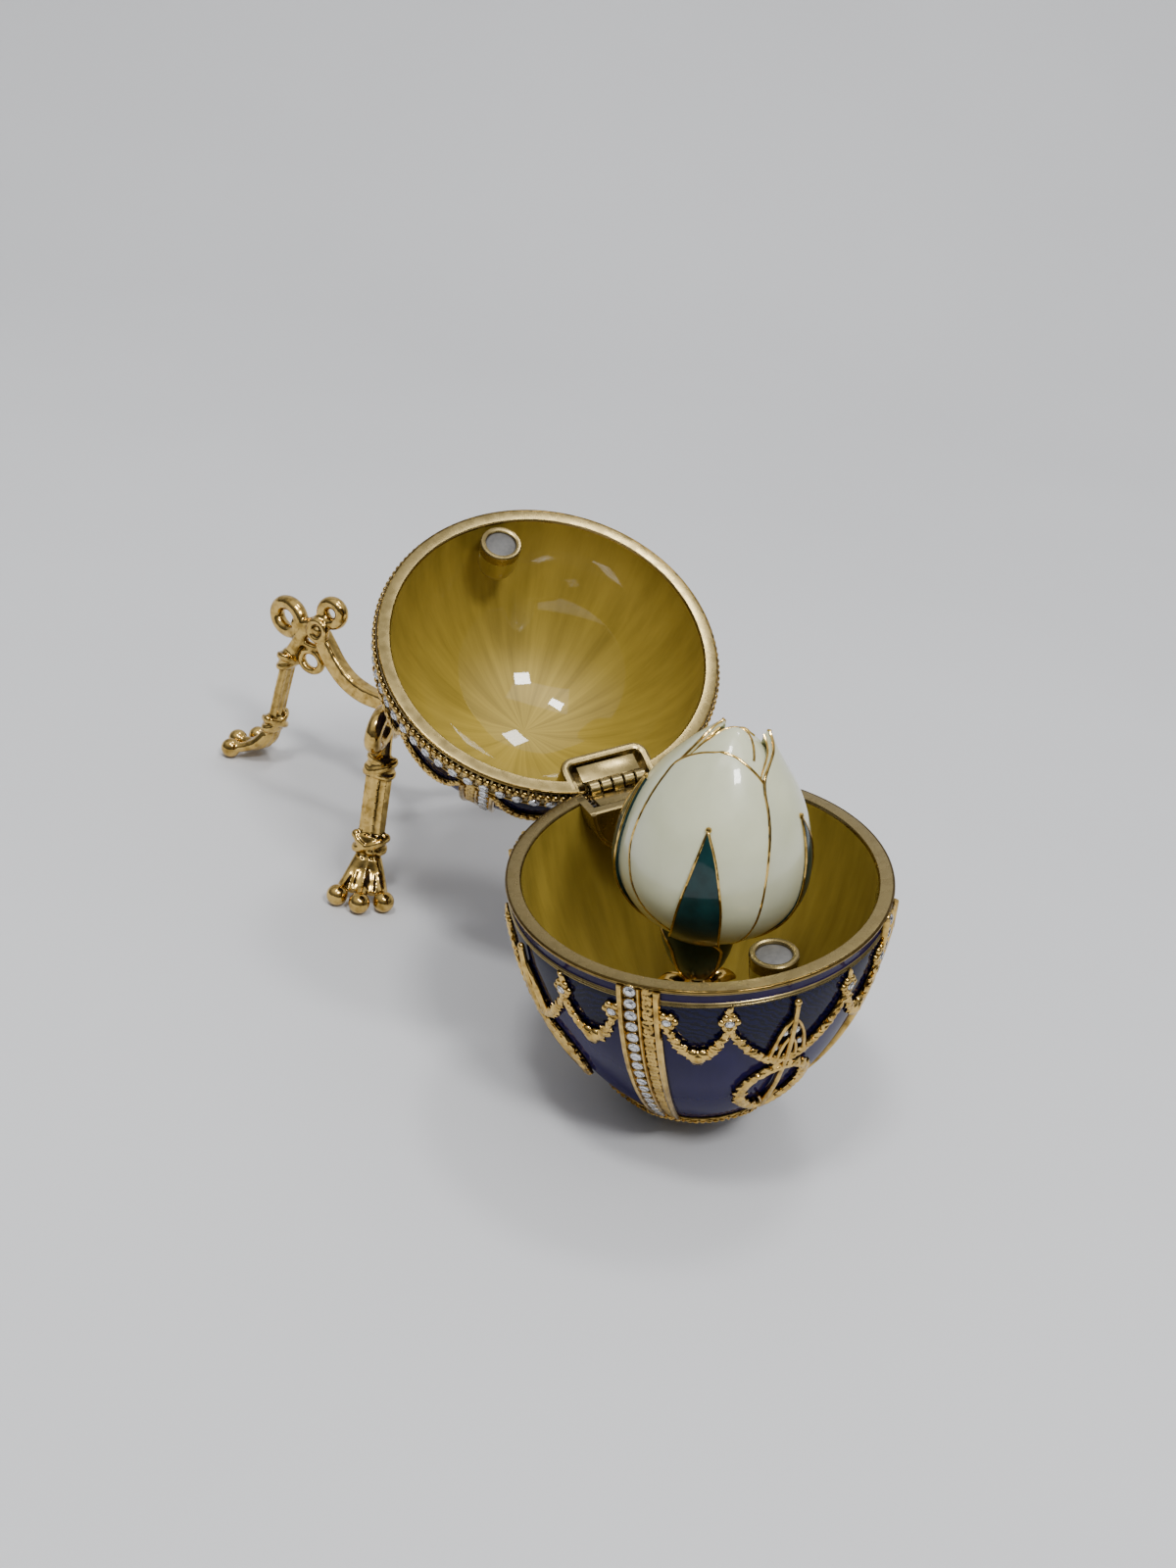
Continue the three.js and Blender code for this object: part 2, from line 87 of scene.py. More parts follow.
joint = frame["record"]["behaviour"]["joints"][0]
pin_axis = Vector(joint["axis"])
lean = Matrix.Rotation(-math.atan2(pin_axis.z, pin_axis.x), 4, "Y")
opened = Matrix.Rotation(-math.radians(joint["range_deg"][1]), 4, "X")
to_pin = Matrix.Translation(Vector((0, -HINGE_Y, -GAP / 2)) * MM) @ Matrix.Scale(MM, 4)
pin_place = Matrix.Translation(joint["pos_m"])
EGG = pin_place @ lean @ to_pin, joint["parent"]
LID = pin_place @ lean @ opened @ to_pin, joint["child"]

hub_low, hub_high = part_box("stand_hub")
hub = (Vector(hub_low) + Vector(hub_high)) / 2
STAND = Matrix.Translation((hub.x, hub.y, 0)) @ Matrix.Scale(MM, 4), joint["parent"]
print("egg rim centre in mm", [round(1000 * c, 1) for c in EGG[0].translation])

# %% [markdown]
# ## Making meshes
#
# Most pieces are either turned, swept along a path or laid on the egg as a sheet, so three
# small functions make nearly all of them from arrays of points. Each mesh keeps the upright
# coordinates it was drawn in as an attribute called "local". The finishes read it, so their
# brush marks and engraving follow the egg whichever way it leans.

# %% Objects and attributes
def linked(name, data):
    obj = bpy.data.objects.new(name, data)
    bpy.context.scene.collection.objects.link(obj)
    return obj


def raw_mesh(name, points, faces, materials, indices=None, angle=None):
    """A mesh object; with an angle it is shaded smooth, and sharper edges are kept crisp."""
    mesh = bpy.data.meshes.new(name)
    mesh.from_pydata([tuple(p) for p in points], [], [tuple(f) for f in faces])
    for material in materials:
        mesh.materials.append(material)
    if indices is not None:
        mesh.polygons.foreach_set("material_index", np.asarray(indices, dtype=np.int32))
    if angle:
        mesh.shade_smooth()
        mesh.set_sharp_from_angle(angle=math.radians(angle))
    return linked(name, mesh)


def read(items, key, width=3, kind=np.float32):
    """One property of all points or edges of a mesh, as rows."""
    flat = np.empty(len(items) * width, dtype=kind)
    items.foreach_get(key, flat)
    return flat.reshape(-1, width)


def mark(mesh, name, values):
    """Stores a number or a vector for each point as an attribute."""
    values = np.asarray(values, dtype=np.float32)
    kind, key = ("FLOAT_VECTOR", "vector") if values.ndim == 2 else ("FLOAT", "value")
    mesh.attributes.new(name, kind, "POINT").data.foreach_set(key, values.ravel())


def settle(obj, home, slot, *nodes, angle=40):
    """Keeps the local coordinates, moves the mesh into the part's frame and hands it over."""
    mesh = obj.data
    matrix, body = home
    mark(mesh, "local", read(mesh.vertices, "co"))
    mesh.transform(matrix)
    mesh.update()
    if angle:
        mesh.shade_smooth()
        mesh.set_sharp_from_angle(angle=math.radians(angle))
    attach(obj, body)
    if nodes:
        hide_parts(*nodes)
    print(f"{obj.name}: {sum(len(p.vertices) - 2 for p in mesh.polygons)} triangles")


# %% Closed shapes
def turns(count):
    return np.linspace(0, 2 * math.pi, count, endpoint=False)


def unit(vectors):
    return vectors / np.linalg.norm(vectors, axis=-1, keepdims=True)


def solid(points, faces):
    """The points and faces of a closed shape, with its faces turned outward."""
    points = np.asarray(points, dtype=float)
    fans = np.array([(f[0], f[m], f[m + 1]) for f in faces for m in range(1, len(f) - 1)])
    a, b, c = points[fans].transpose(1, 0, 2)
    inside_out = (a * np.cross(b, c)).sum() < 0
    return points, [tuple(f)[::-1] for f in faces] if inside_out else faces


def lattice(rows, columns, wrap=False):
    """Quads between rows of points, each row holding the same number of columns."""
    i = np.arange(rows - 1)[:, None] * columns
    j = np.arange(columns if wrap else columns - 1)[None, :]
    a, b = (i + j).ravel(), (i + (j + 1) % columns).ravel()
    return np.stack([a, b, b + columns, a + columns], axis=1)


def turned(profile, segments):
    """A closed outline of (radius, z) turned about Z. Points on the axis become one pole."""
    angle = turns(segments)
    points, starts = [], []
    for radius, z in profile:
        starts.append(len(points))
        ring = zip(np.cos(angle), np.sin(angle)) if radius > 1e-6 else [(0, 0)]
        points += [(radius * c, radius * s, z) for c, s in ring]
    starts.append(len(points))
    faces = []
    for a, b, end in zip(starts, starts[1:], starts[2:]):
        for k in range(segments):
            m = (k + 1) % segments
            if b - a == 1:
                faces.append((a, b + k, b + m))
            elif end - b == 1:
                faces.append((a + m, a + k, b))
            else:
                faces.append((a + k, b + k, b + m, a + m))
    return solid(points, faces)


def swept(spots, ups, section, wide=1.0, thick=1.0, ring=False):
    """A section of (side, height) swept along spots, scaled by wide and thick on the way."""
    spots = np.asarray(spots, dtype=float)
    count, sides = len(spots), len(section)
    if ring:
        along = unit(np.roll(spots, -1, axis=0) - np.roll(spots, 1, axis=0))
    else:
        along = unit(np.gradient(spots, axis=0))
    side = unit(np.cross(along, ups))
    up = np.cross(side, along)
    wide, thick = (np.broadcast_to(value, count)[:, None] for value in (wide, thick))
    points = [spots + side * (s * wide) + up * (h * thick) for s, h in section]
    faces = [tuple(f) for f in lattice(count + ring, sides, wrap=True) % (count * sides)]
    if not ring:
        faces += [tuple(range(sides))[::-1], tuple((count - 1) * sides + np.arange(sides))]
    return solid(np.stack(points, axis=1).reshape(-1, 3), faces)


def sheet_of(top, bottom):
    """A thin solid between two grids of points, and its border as a row of point numbers."""
    rows, columns = top.shape[:2]
    n = rows * columns
    skin = [tuple(f) for f in lattice(rows, columns)]
    grid = np.arange(n).reshape(rows, columns)
    border = [*grid[:, 0], *grid[-1, 1:], *grid[-2::-1, -1], *grid[0, -2:0:-1]]
    faces = skin + [tuple(int(i) + n for i in f[::-1]) for f in skin]
    faces += [(a, b, b + n, a + n)[::-1] for a, b in zip(border, border[1:] + border[:1])]
    return solid(np.concatenate([top.reshape(-1, 3), bottom.reshape(-1, 3)]), faces), border


def box_of(x0, x1, y0, y1, z0, z1):
    points = [(x, y, z) for x in (x0, x1) for y in (y0, y1) for z in (z0, z1)]
    faces = [(0, 1, 3, 2), (4, 6, 7, 5), (0, 4, 5, 1), (2, 3, 7, 6), (0, 2, 6, 4), (1, 5, 7, 3)]
    return solid(points, faces)


def merged(*parts):
    """Several (points, faces) as one."""
    faces, start = [], 0
    for points, some in parts:
        faces += [tuple(int(v) + start for v in f) for f in some]
        start += len(points)
    return np.concatenate([points for points, _ in parts]), faces


# %% Sections and curves
def oval(half_in, half_across, sides=32, power=1.0):
    """A section: an ellipse at power 1, and nearer a rectangle at lower powers."""
    c, s = np.cos(turns(sides)), np.sin(turns(sides))
    return np.stack([half_in * np.sign(c) * np.abs(c) ** power,
                     half_across * np.sign(s) * np.abs(s) ** power], axis=1)


def curve_through(points, count):
    """A smooth row of points through the ones given (Catmull-Rom)."""
    points = np.asarray(points, dtype=float)
    ends = 2 * points[:1] - points[1:2], 2 * points[-1:] - points[-2:-1]
    padded = np.concatenate([ends[0], points, ends[1]])
    spans = len(points) - 1
    place = np.linspace(0, spans, count)
    span = np.minimum(place.astype(int), spans - 1)
    t = (place - span)[:, None]
    a, b, c, d = (padded[span + k] for k in range(4))
    return 0.5 * (2 * b + (c - a) * t + (2 * a - 5 * b + 4 * c - d) * t**2
                  + (3 * b - a - 3 * c + d) * t**3)


# %% Finished meshes
def evaluated(obj):
    """The object with its modifiers applied, as a plain mesh; the original is removed."""
    name, old = obj.name, obj.data
    depsgraph = bpy.context.evaluated_depsgraph_get()
    mesh = bpy.data.meshes.new_from_object(obj.evaluated_get(depsgraph), depsgraph=depsgraph)
    bpy.data.objects.remove(obj)
    bpy.data.meshes.remove(old)
    mesh.name = name
    return linked(name, mesh)


def notched(obj, box, index):
    """The object with a box cut out of it; the cut faces take the material of that index."""
    cutter = raw_mesh("cutter", *box, obj.data.materials, [index] * len(box[1]))
    cut = obj.modifiers.new("notch", "BOOLEAN")
    cut.operation, cut.solver, cut.object = "DIFFERENCE", "MANIFOLD", cutter
    made = evaluated(obj)
    bpy.data.objects.remove(cutter)
    return made


# %% [markdown]
# ## The egg's two surfaces
#
# The deep half is a little more pointed than an ellipse and the lid is half a ball. Every
# ornament lies on one of the two, so a place on the egg is said as a distance from the rim
# and an angle round it. The function gives the point there and the way the surface faces,
# and everything raised is lifted along that direction.

# %% Surface functions
def base_radius(depth, rim=RIM, full=BASE_DEPTH):
    s = np.clip(depth / full, 0, 1)
    return rim * (1 - s * s) ** 0.568 * (1 - 0.08 * s)


def lid_radius(height, rim=RIM, full=LID_DEPTH):
    s = np.clip(height / full, 0, 1)
    return rim * np.sqrt(1 - s * s)


def place_on(radius_at, direction, offset, level, angle, lift=0.0, step=0.02):
    """Point and outward direction at a level from the rim and an angle in degrees."""
    level, a = np.asarray(level, dtype=float), np.radians(angle)
    slope = (radius_at(level + step) - radius_at(level - step)) / (2 * step)
    r, z = radius_at(level), direction * level + offset
    up = unit(np.stack(np.broadcast_arrays(np.cos(a), np.sin(a), -direction * slope), axis=-1))
    point = np.stack(np.broadcast_arrays(r * np.cos(a), r * np.sin(a), z), axis=-1)
    return point + up * np.asarray(lift)[..., None], up


def on_base(*place):
    return place_on(base_radius, -1, 0, *place)


def on_lid(*place):
    return place_on(lid_radius, 1, GAP, *place)


print("base is", round(float(base_radius(22.5)), 2), "mm in radius half way down")

# %% [markdown]
# ## Finishes
#
# Enamel is coloured glass over patterned metal, so its colour layer is partly metallic and
# uneven, and a smooth clear coat lies over that. Gold plate is bright where it is rubbed and
# browner in patches, and painted shade darkens its hollows. All patterns come from noise and
# waves on the local coordinates rather than from pictures, so they hold at any distance.

# %% Node helpers
def feed(tree, socket, value):
    """Sets a socket to a value, or links another node's output to it."""
    if isinstance(value, bpy.types.NodeSocket):
        tree.links.new(value, socket)
    else:
        socket.default_value = value


def add(tree, kind, inputs=None, output=0, **settings):
    """Adds a node with its settings and inputs, and gives back one of its outputs."""
    node = tree.nodes.new(kind)
    for key, value in settings.items():
        setattr(node, key, value)
    for key, value in (inputs or {}).items():
        feed(tree, node.inputs[key], value)
    return node.outputs[output]


def sums(tree, operation, a, b=0.0):
    return add(tree, "ShaderNodeMath", {0: a, 1: b}, operation=operation)


def vectors(tree, operation, a, b=(0, 0, 0)):
    """Vector arithmetic; b is a number for SCALE."""
    key = "Scale" if operation == "SCALE" else 1
    return add(tree, "ShaderNodeVectorMath", {0: a, key: b}, operation=operation)


# %% Parts of a finish
def finish_of(name, **plain):
    """A material with its plain shader values set; returns it with its tree and shader."""
    material = bpy.data.materials.new(name)
    material.use_nodes = True
    shader = material.node_tree.nodes["Principled BSDF"]
    for key, value in plain.items():
        shader.inputs[key.replace("_", " ")].default_value = value
    return material, material.node_tree, shader


def attribute(tree, name, output="Fac"):
    return add(tree, "ShaderNodeAttribute", output=output, attribute_name=name)


def noise(tree, scale, detail=3.0, roughness=0.5, vector=None):
    """Noise on the local coordinates, or on another vector."""
    vector = vector or attribute(tree, "local", "Vector")
    inputs = {"Vector": vector, "Scale": scale, "Detail": detail, "Roughness": roughness}
    return add(tree, "ShaderNodeTexNoise", inputs)


def ramp(tree, factor, *stops):
    """Colours or greys blended by a factor; each stop is (place, colour)."""
    colour = add(tree, "ShaderNodeValToRGB", {"Fac": factor})
    elements = colour.node.color_ramp.elements
    while len(elements) < len(stops):
        elements.new(0.5)
    for element, (place, shade) in zip(elements, stops):
        element.position = place
        element.color = (*shade, 1) if isinstance(shade, tuple) else (shade,) * 3 + (1,)
    return colour


def mixed(tree, factor, a, b):
    a, b = (c if isinstance(c, bpy.types.NodeSocket) else (*c, 1) for c in (a, b))
    return add(tree, "ShaderNodeMix", {0: factor, 6: a, 7: b}, 2, data_type="RGBA")


def bumped(tree, shader, height, strength, distance=0.0002):
    inputs = {"Height": height, "Strength": strength, "Distance": distance}
    feed(tree, shader.inputs["Normal"], add(tree, "ShaderNodeBump", inputs))


def mottled(name, factor, low, high, **plain):
    """A finish whose colour runs from low to high by a noise; the noise is (scale, detail)."""
    material, tree, shader = finish_of(name, **plain)
    colour = ramp(tree, noise(tree, *factor), low, high)
    feed(tree, shader.inputs["Base Color"], colour)
    return material, tree, shader


def round_the_axis(tree, around, along):
    """Coordinates that run round the egg's axis and hardly along it, for brushed streaks."""
    local = attribute(tree, "local", "Vector")
    flat = vectors(tree, "NORMALIZE", vectors(tree, "MULTIPLY", local, (1, 1, 0)))
    up = vectors(tree, "MULTIPLY", local, (0, 0, along))
    return vectors(tree, "ADD", vectors(tree, "SCALE", flat, around), up)


# %% Gold
def make_gold(name, bright, dark, roughness, patches=0.62, hollow_shade_and_bump=True):
    """Gold plate; if asked, painted shade darkens its hollows and a slight bump is added."""
    material, tree, shader = finish_of(name, Metallic=1.0)
    patch = ramp(tree, noise(tree, 0.55, 5, 0.6), (patches - 0.12, 0.0), (patches + 0.1, 1.0))
    colour = mixed(tree, patch, bright, dark)
    if hollow_shade_and_bump:
        # Painted shade: a near-black gold, blended in where the "recess" attribute is high.
        painted_shade = tuple(0.25 * value for value in dark)
        colour = mixed(tree, attribute(tree, "recess"), colour, painted_shade)
        bumped(tree, shader, noise(tree, 0.6, 1), 0.5)
    feed(tree, shader.inputs["Base Color"], colour)
    rough = ramp(tree, noise(tree, 0.5, 2), (0.3, roughness * 0.8), (0.7, roughness * 1.3))
    feed(tree, shader.inputs["Roughness"], rough)
    return material


gold = make_gold("gold", (0.68, 0.46, 0.14), (0.34, 0.21, 0.05), 0.12, 0.56)
rim_gold = make_gold("rim_gold", (0.31, 0.235, 0.098), (0.265, 0.2, 0.08), 0.25, hollow_shade_and_bump=False)
print("nodes in the gold:", len(gold.node_tree.nodes))


# %% Enamels
def make_enamel(name, light, dark, streaks, **plain):
    """Enamel with brushed streaks round the egg and slow clouds."""
    material, tree, shader = finish_of(name, Coat_Roughness=0.03, **plain)
    brushed = noise(tree, 1.0, 5, 0.6, round_the_axis(tree, streaks, 0.05))
    cloud = sums(tree, "MULTIPLY", noise(tree, 0.06, 2), 0.25)
    mix = sums(tree, "ADD", sums(tree, "MULTIPLY", brushed, 0.75), cloud)
    colour = ramp(tree, mix, (0.36, dark), (0.62, light))
    feed(tree, shader.inputs["Base Color"], colour)
    return material, tree, shader, brushed, colour


yellow, tree, shader, brushed, _ = make_enamel(
    "yellow_enamel", (0.38, 0.275, 0.040), (0.25, 0.178, 0.022), 7.0,
    Metallic=0.25, Roughness=0.5, Specular_IOR_Level=0.2, Coat_Weight=1.0,
)
bumped(tree, shader, brushed, 0.1)

blue, tree, shader, _, lower_colour = make_enamel(
    "blue_enamel", (0.015, 0.011, 0.060), (0.011, 0.008, 0.044), 4.0,
    Metallic=0.0, Roughness=0.35, Specular_IOR_Level=0.0, Coat_Weight=0.4,
)
path = round_the_axis(tree, 9.0, 0.35)
inputs = {"Vector": path, "Scale": 1.6, "Distortion": 7.0, "Detail": 2.0}
waves = add(tree, "ShaderNodeTexWave", inputs, "Fac", bands_direction="DIAGONAL")
lower = attribute(tree, "lower")
upper_colour = ramp(tree, waves, (0.2, (0.001, 0.001, 0.010)), (0.8, (0.003, 0.0035, 0.030)))
feed(tree, shader.inputs["Base Color"], mixed(tree, lower, upper_colour, lower_colour))
engraved = sums(tree, "MULTIPLY", waves, sums(tree, "SUBTRACT", 1.0, lower))
bumped(tree, shader, engraved, 0.06, 0.0003)

purple, _, _ = mottled(
    "purple_enamel", (0.3,), (0.35, (0.008, 0.004, 0.030)), (0.7, (0.015, 0.007, 0.050)),
    Specular_IOR_Level=0.0, Coat_Weight=0.4, Coat_Roughness=0.03, Roughness=0.35,
)
green, _, _ = mottled(
    "green_enamel", (0.35, 4), (0.3, (0.003, 0.018, 0.018)), (0.75, (0.005, 0.036, 0.037)),
    Specular_IOR_Level=0.1, Coat_Weight=0.6, Coat_Roughness=0.04, Roughness=0.3,
)
cream, tree, shader = mottled(
    "cream_enamel", (0.12, 4), (0.3, (0.54, 0.555, 0.37)), (0.72, (0.64, 0.655, 0.455)),
    Roughness=0.32, Coat_Weight=0.8, Coat_Roughness=0.05, Subsurface_Weight=0.12,
    Subsurface_Radius=(0.002, 0.0018, 0.0012), Subsurface_Scale=1.0,
)
bumped(tree, shader, noise(tree, 0.35, 2), 0.2)
print("enamels:", yellow.name, blue.name, purple.name, green.name, cream.name)

# %% Magnets and stones
magnet, tree, shader = mottled(
    "magnet", (1.2, 5, 0.65), (0.3, (0.075, 0.073, 0.07)), (0.7, (0.125, 0.12, 0.113)), Metallic=0.1,
)
rough = ramp(tree, noise(tree, 1.2, 5, 0.65), (0.3, 0.42), (0.7, 0.6))
feed(tree, shader.inputs["Roughness"], rough)
crystal, _, _ = mottled(
    "crystal", (0.9, 1), (0.3, (0.93, 0.95, 1.0)), (0.7, (1.0, 0.99, 0.96)),
    Roughness=0.0, Transmission_Weight=1.0, IOR=1.9,
)
foil, _, _ = mottled(
    "foil", (1.5, 1), (0.3, (0.62, 0.63, 0.66)), (0.7, (0.9, 0.9, 0.9)), Metallic=1.0, Roughness=0.15,
)
print(len(bpy.data.materials), "materials")

# %% [markdown]
# ## The two shells
#
# Each half is one turned wall: up the inside, over the flat rim and down the outside, past
# the small mouldings. A turned outline is the natural way to make it, since everything in
# it is round. The notch for the hinge is cut with a boolean, so the rim ends squarely
# there.

# %% Shell functions
SHELL_TURNS = 192
NOTCH = (-6.6, 6.6, 24.2, 34.2)
NOTCH_REACH = 3.4
INSIDE, EDGE, STRIPE, OUTSIDE = range(4)


def shell(name, radius_at, full, direction, rim_z, mouldings):
    """One half of the egg from its mouldings of (level, lift, material)."""
    inner = RIM - WALL
    levels = [full - WALL - (full - WALL - 0.7) * math.sin(math.pi / 2 * i / 60) for i in range(61)]
    rows = [(radius_at(d, inner, full - WALL), d, INSIDE) for d in levels]
    rows += [(inner, 0.55, EDGE), (inner + 0.06, 0.2, EDGE), (inner + 0.25, 0.0, EDGE)]
    rows += [(RIM - 0.3, 0.0, EDGE), (RIM - 0.08, 0.06, EDGE)]
    rows += [(radius_at(d) + lift, d, material) for d, lift, material in mouldings]
    start = mouldings[-1][0]
    levels = [start + (full - start) * math.sin(math.pi / 2 * i / 90) for i in range(1, 90)]
    rows += [(radius_at(d), d, OUTSIDE) for d in levels] + [(0.0, full, OUTSIDE)]
    points, faces = turned([(float(r), rim_z + direction * float(d)) for r, d, _ in rows], SHELL_TURNS)
    indices = np.repeat([material for _, _, material in rows[:-1]], SHELL_TURNS)
    obj = raw_mesh(name, points, faces, [yellow, rim_gold, purple, blue], indices)
    return notched(obj, box_of(*NOTCH, rim_z - NOTCH_REACH, rim_z + NOTCH_REACH), EDGE)


def mark_lower(obj, edge_at, direction, rim_z):
    """An attribute that is 1 beyond the garlands' line and 0 between it and the rim."""
    x, y, z = read(obj.data.vertices, "co").T
    edge = edge_at(np.degrees(np.arctan2(y, x)))
    mark(obj.data, "lower", np.clip((direction * (z - rim_z) - edge) / 0.4 + 0.5, 0, 1))


# %% Base shell
SWAG_TOP = 7.4
LARGE_REACH = 19.6
SMALL_REACH = 37.0
LARGE_LOW = 16.5
SMALL_LOW = 13.2


def base_garland(angle):
    """Depth of the garlands' line at an angle, the same in each quarter of the egg."""
    offset = np.abs((angle + 45) % 90 - 45)
    large = LARGE_LOW - (LARGE_LOW - SWAG_TOP) * (offset / LARGE_REACH) ** 2
    middle, half = (SMALL_REACH + LARGE_REACH) / 2, (SMALL_REACH - LARGE_REACH) / 2
    small = SMALL_LOW - (SMALL_LOW - SWAG_TOP) * ((offset - middle) / half) ** 2
    return np.where(offset < LARGE_REACH, large, np.maximum(small, SWAG_TOP))


base = shell("egg_base", base_radius, BASE_DEPTH, -1, 0.0, [
    (0.3, 0.04, EDGE), (0.6, 0.06, EDGE), (0.88, 0.0, EDGE), (0.98, -0.14, STRIPE),
    (1.12, -0.2, STRIPE), (2.28, -0.2, STRIPE), (2.4, -0.1, EDGE), (2.5, 0.06, EDGE),
    (2.66, 0.14, EDGE), (2.82, 0.06, EDGE), (2.9, -0.06, EDGE), (2.98, 0.06, EDGE),
    (3.14, 0.13, EDGE), (3.3, 0.04, EDGE), (3.42, -0.08, OUTSIDE), (3.6, -0.06, OUTSIDE),
    (4.2, 0.0, OUTSIDE),
])
mark_lower(base, base_garland, -1, 0.0)
settle(base, EGG, "blue_enamel", "base_shell")

# %% Lid shell
SCALLOP_STEP = 26.0
SCALLOP_TOP = 5.0
SCALLOP_LOW = 11.5


def lid_garland(angle):
    """Height of the scallops' line: three to a quarter, and none under the bands."""
    offset = (angle + 45) % 90 - 45
    t = (offset + 1.5 * SCALLOP_STEP) % SCALLOP_STEP / SCALLOP_STEP * 2 - 1
    line = SCALLOP_LOW - (SCALLOP_LOW - SCALLOP_TOP) * t**2
    return np.where(np.abs(offset) < 1.5 * SCALLOP_STEP, line, SCALLOP_TOP)


lid = shell("egg_lid", lid_radius, LID_DEPTH, 1, GAP, [
    (0.3, 0.04, EDGE), (0.6, 0.06, EDGE), (0.9, 0.02, EDGE), (1.1, -0.15, EDGE), (2.2, -0.1, EDGE),
    (2.4, 0.05, EDGE), (2.6, 0.1, EDGE), (4.6, 0.1, EDGE), (4.8, 0.08, EDGE), (5.0, 0.0, OUTSIDE),
])
mark_lower(lid, lid_garland, 1, GAP)
settle(lid, LID, "blue_enamel", "lid_shell")

# %% [markdown]
# ## Ornament made with Geometry Nodes
#
# The outside carries hundreds of small repeated things: stones, beads, leaves and cords.
# Two kinds of node tree make them all. One gives a path a body, a cord with a lumpy cast
# surface. The other sets copies of a small piece along a path, each turned to stand on the
# egg. Both read two attributes that the path brings: which way is up, and how wide it is.

# %% Paths
def path_object(name, paths):
    """A mesh of edges only. A path is (points, ups, widths), with an optional closed mark."""
    points, ups, widths, edges = [], [], [], []
    for spots, up, wide, *closed in paths:
        start, count = len(points), len(spots)
        points += [tuple(p) for p in spots]
        ups += list(up)
        widths += list(np.broadcast_to(wide, count))
        edges += [(start + i, start + i + 1) for i in range(count - 1)]
        if any(closed):
            edges.append((start + count - 1, start))
    mesh = bpy.data.meshes.new(name)
    mesh.from_pydata(points, edges, [])
    mark(mesh, "up", ups)
    mark(mesh, "wide", widths)
    return linked(name, mesh)


def ring_path(on, level, lift, count=180):
    """A closed path round the egg; the level is one number or one for each point."""
    return *on(level, np.degrees(turns(count)), lift), 1.0, True


# %% Parts of a node tree
def geometry(tree, kind, inputs=None, **settings):
    return add(tree, "GeometryNode" + kind, inputs, **settings)


def new_tree(name, **inputs):
    """A tree with a geometry input and output and named inputs of the given kinds."""
    tree = bpy.data.node_groups.new(name, "GeometryNodeTree")
    tree.interface.new_socket("Geometry", in_out="OUTPUT", socket_type="NodeSocketGeometry")
    for key, kind in {"Geometry": "Geometry", **inputs}.items():
        tree.interface.new_socket(key, in_out="INPUT", socket_type="NodeSocket" + kind)
    return tree, tree.nodes.new("NodeGroupInput").outputs


def named(tree, name, kind):
    return geometry(tree, "InputNamedAttribute", {"Name": name}, data_type=kind)


def curve_of(tree, paths, step):
    curve = geometry(tree, "MeshToCurve", {0: paths})
    return geometry(tree, "ResampleCurve", {"Curve": curve, "Length": step}, mode="LENGTH")


def finish_tree(tree, made, material):
    made = geometry(tree, "RealizeInstances", {0: made})
    made = geometry(tree, "SetMaterial", {"Geometry": made, "Material": material})
    tree.links.new(made, tree.nodes.new("NodeGroupOutput").inputs[0])
    return tree


# %% The cord tree
def make_cord_tree():
    """A lumpy cord of oval section along each path, wider or narrower as the path says."""
    tree, given = new_tree(
        "cord", half_width="Float", height="Float", step="Float", sides="Int", lumps="Float",
        lump_size="Float", material="Material",
    )
    curve = curve_of(tree, given["Geometry"], given["step"])
    ups = named(tree, "up", "FLOAT_VECTOR")
    curve = geometry(tree, "SetCurveNormal", {"Curve": curve, "Normal": ups}, mode="FREE")
    section = geometry(tree, "CurvePrimitiveCircle", {"Resolution": given["sides"], "Radius": 1.0})
    size = add(tree, "ShaderNodeCombineXYZ", {0: given["height"], 1: given["half_width"], 2: 1.0})
    section = geometry(tree, "Transform", {"Geometry": section, "Scale": size})
    inputs = {"Curve": curve, "Profile Curve": section, "Scale": named(tree, "wide", "FLOAT")}
    body = geometry(tree, "CurveToMesh", {**inputs, "Fill Caps": True})
    grain = noise(tree, given["lump_size"], 2.0, vector=geometry(tree, "InputPosition"))
    swell = sums(tree, "MULTIPLY", sums(tree, "SUBTRACT", grain, 0.5), given["lumps"])
    shift = vectors(tree, "SCALE", geometry(tree, "InputNormal"), swell)
    body = geometry(tree, "SetPosition", {"Geometry": body, "Offset": shift})
    return finish_tree(tree, body, given["material"])


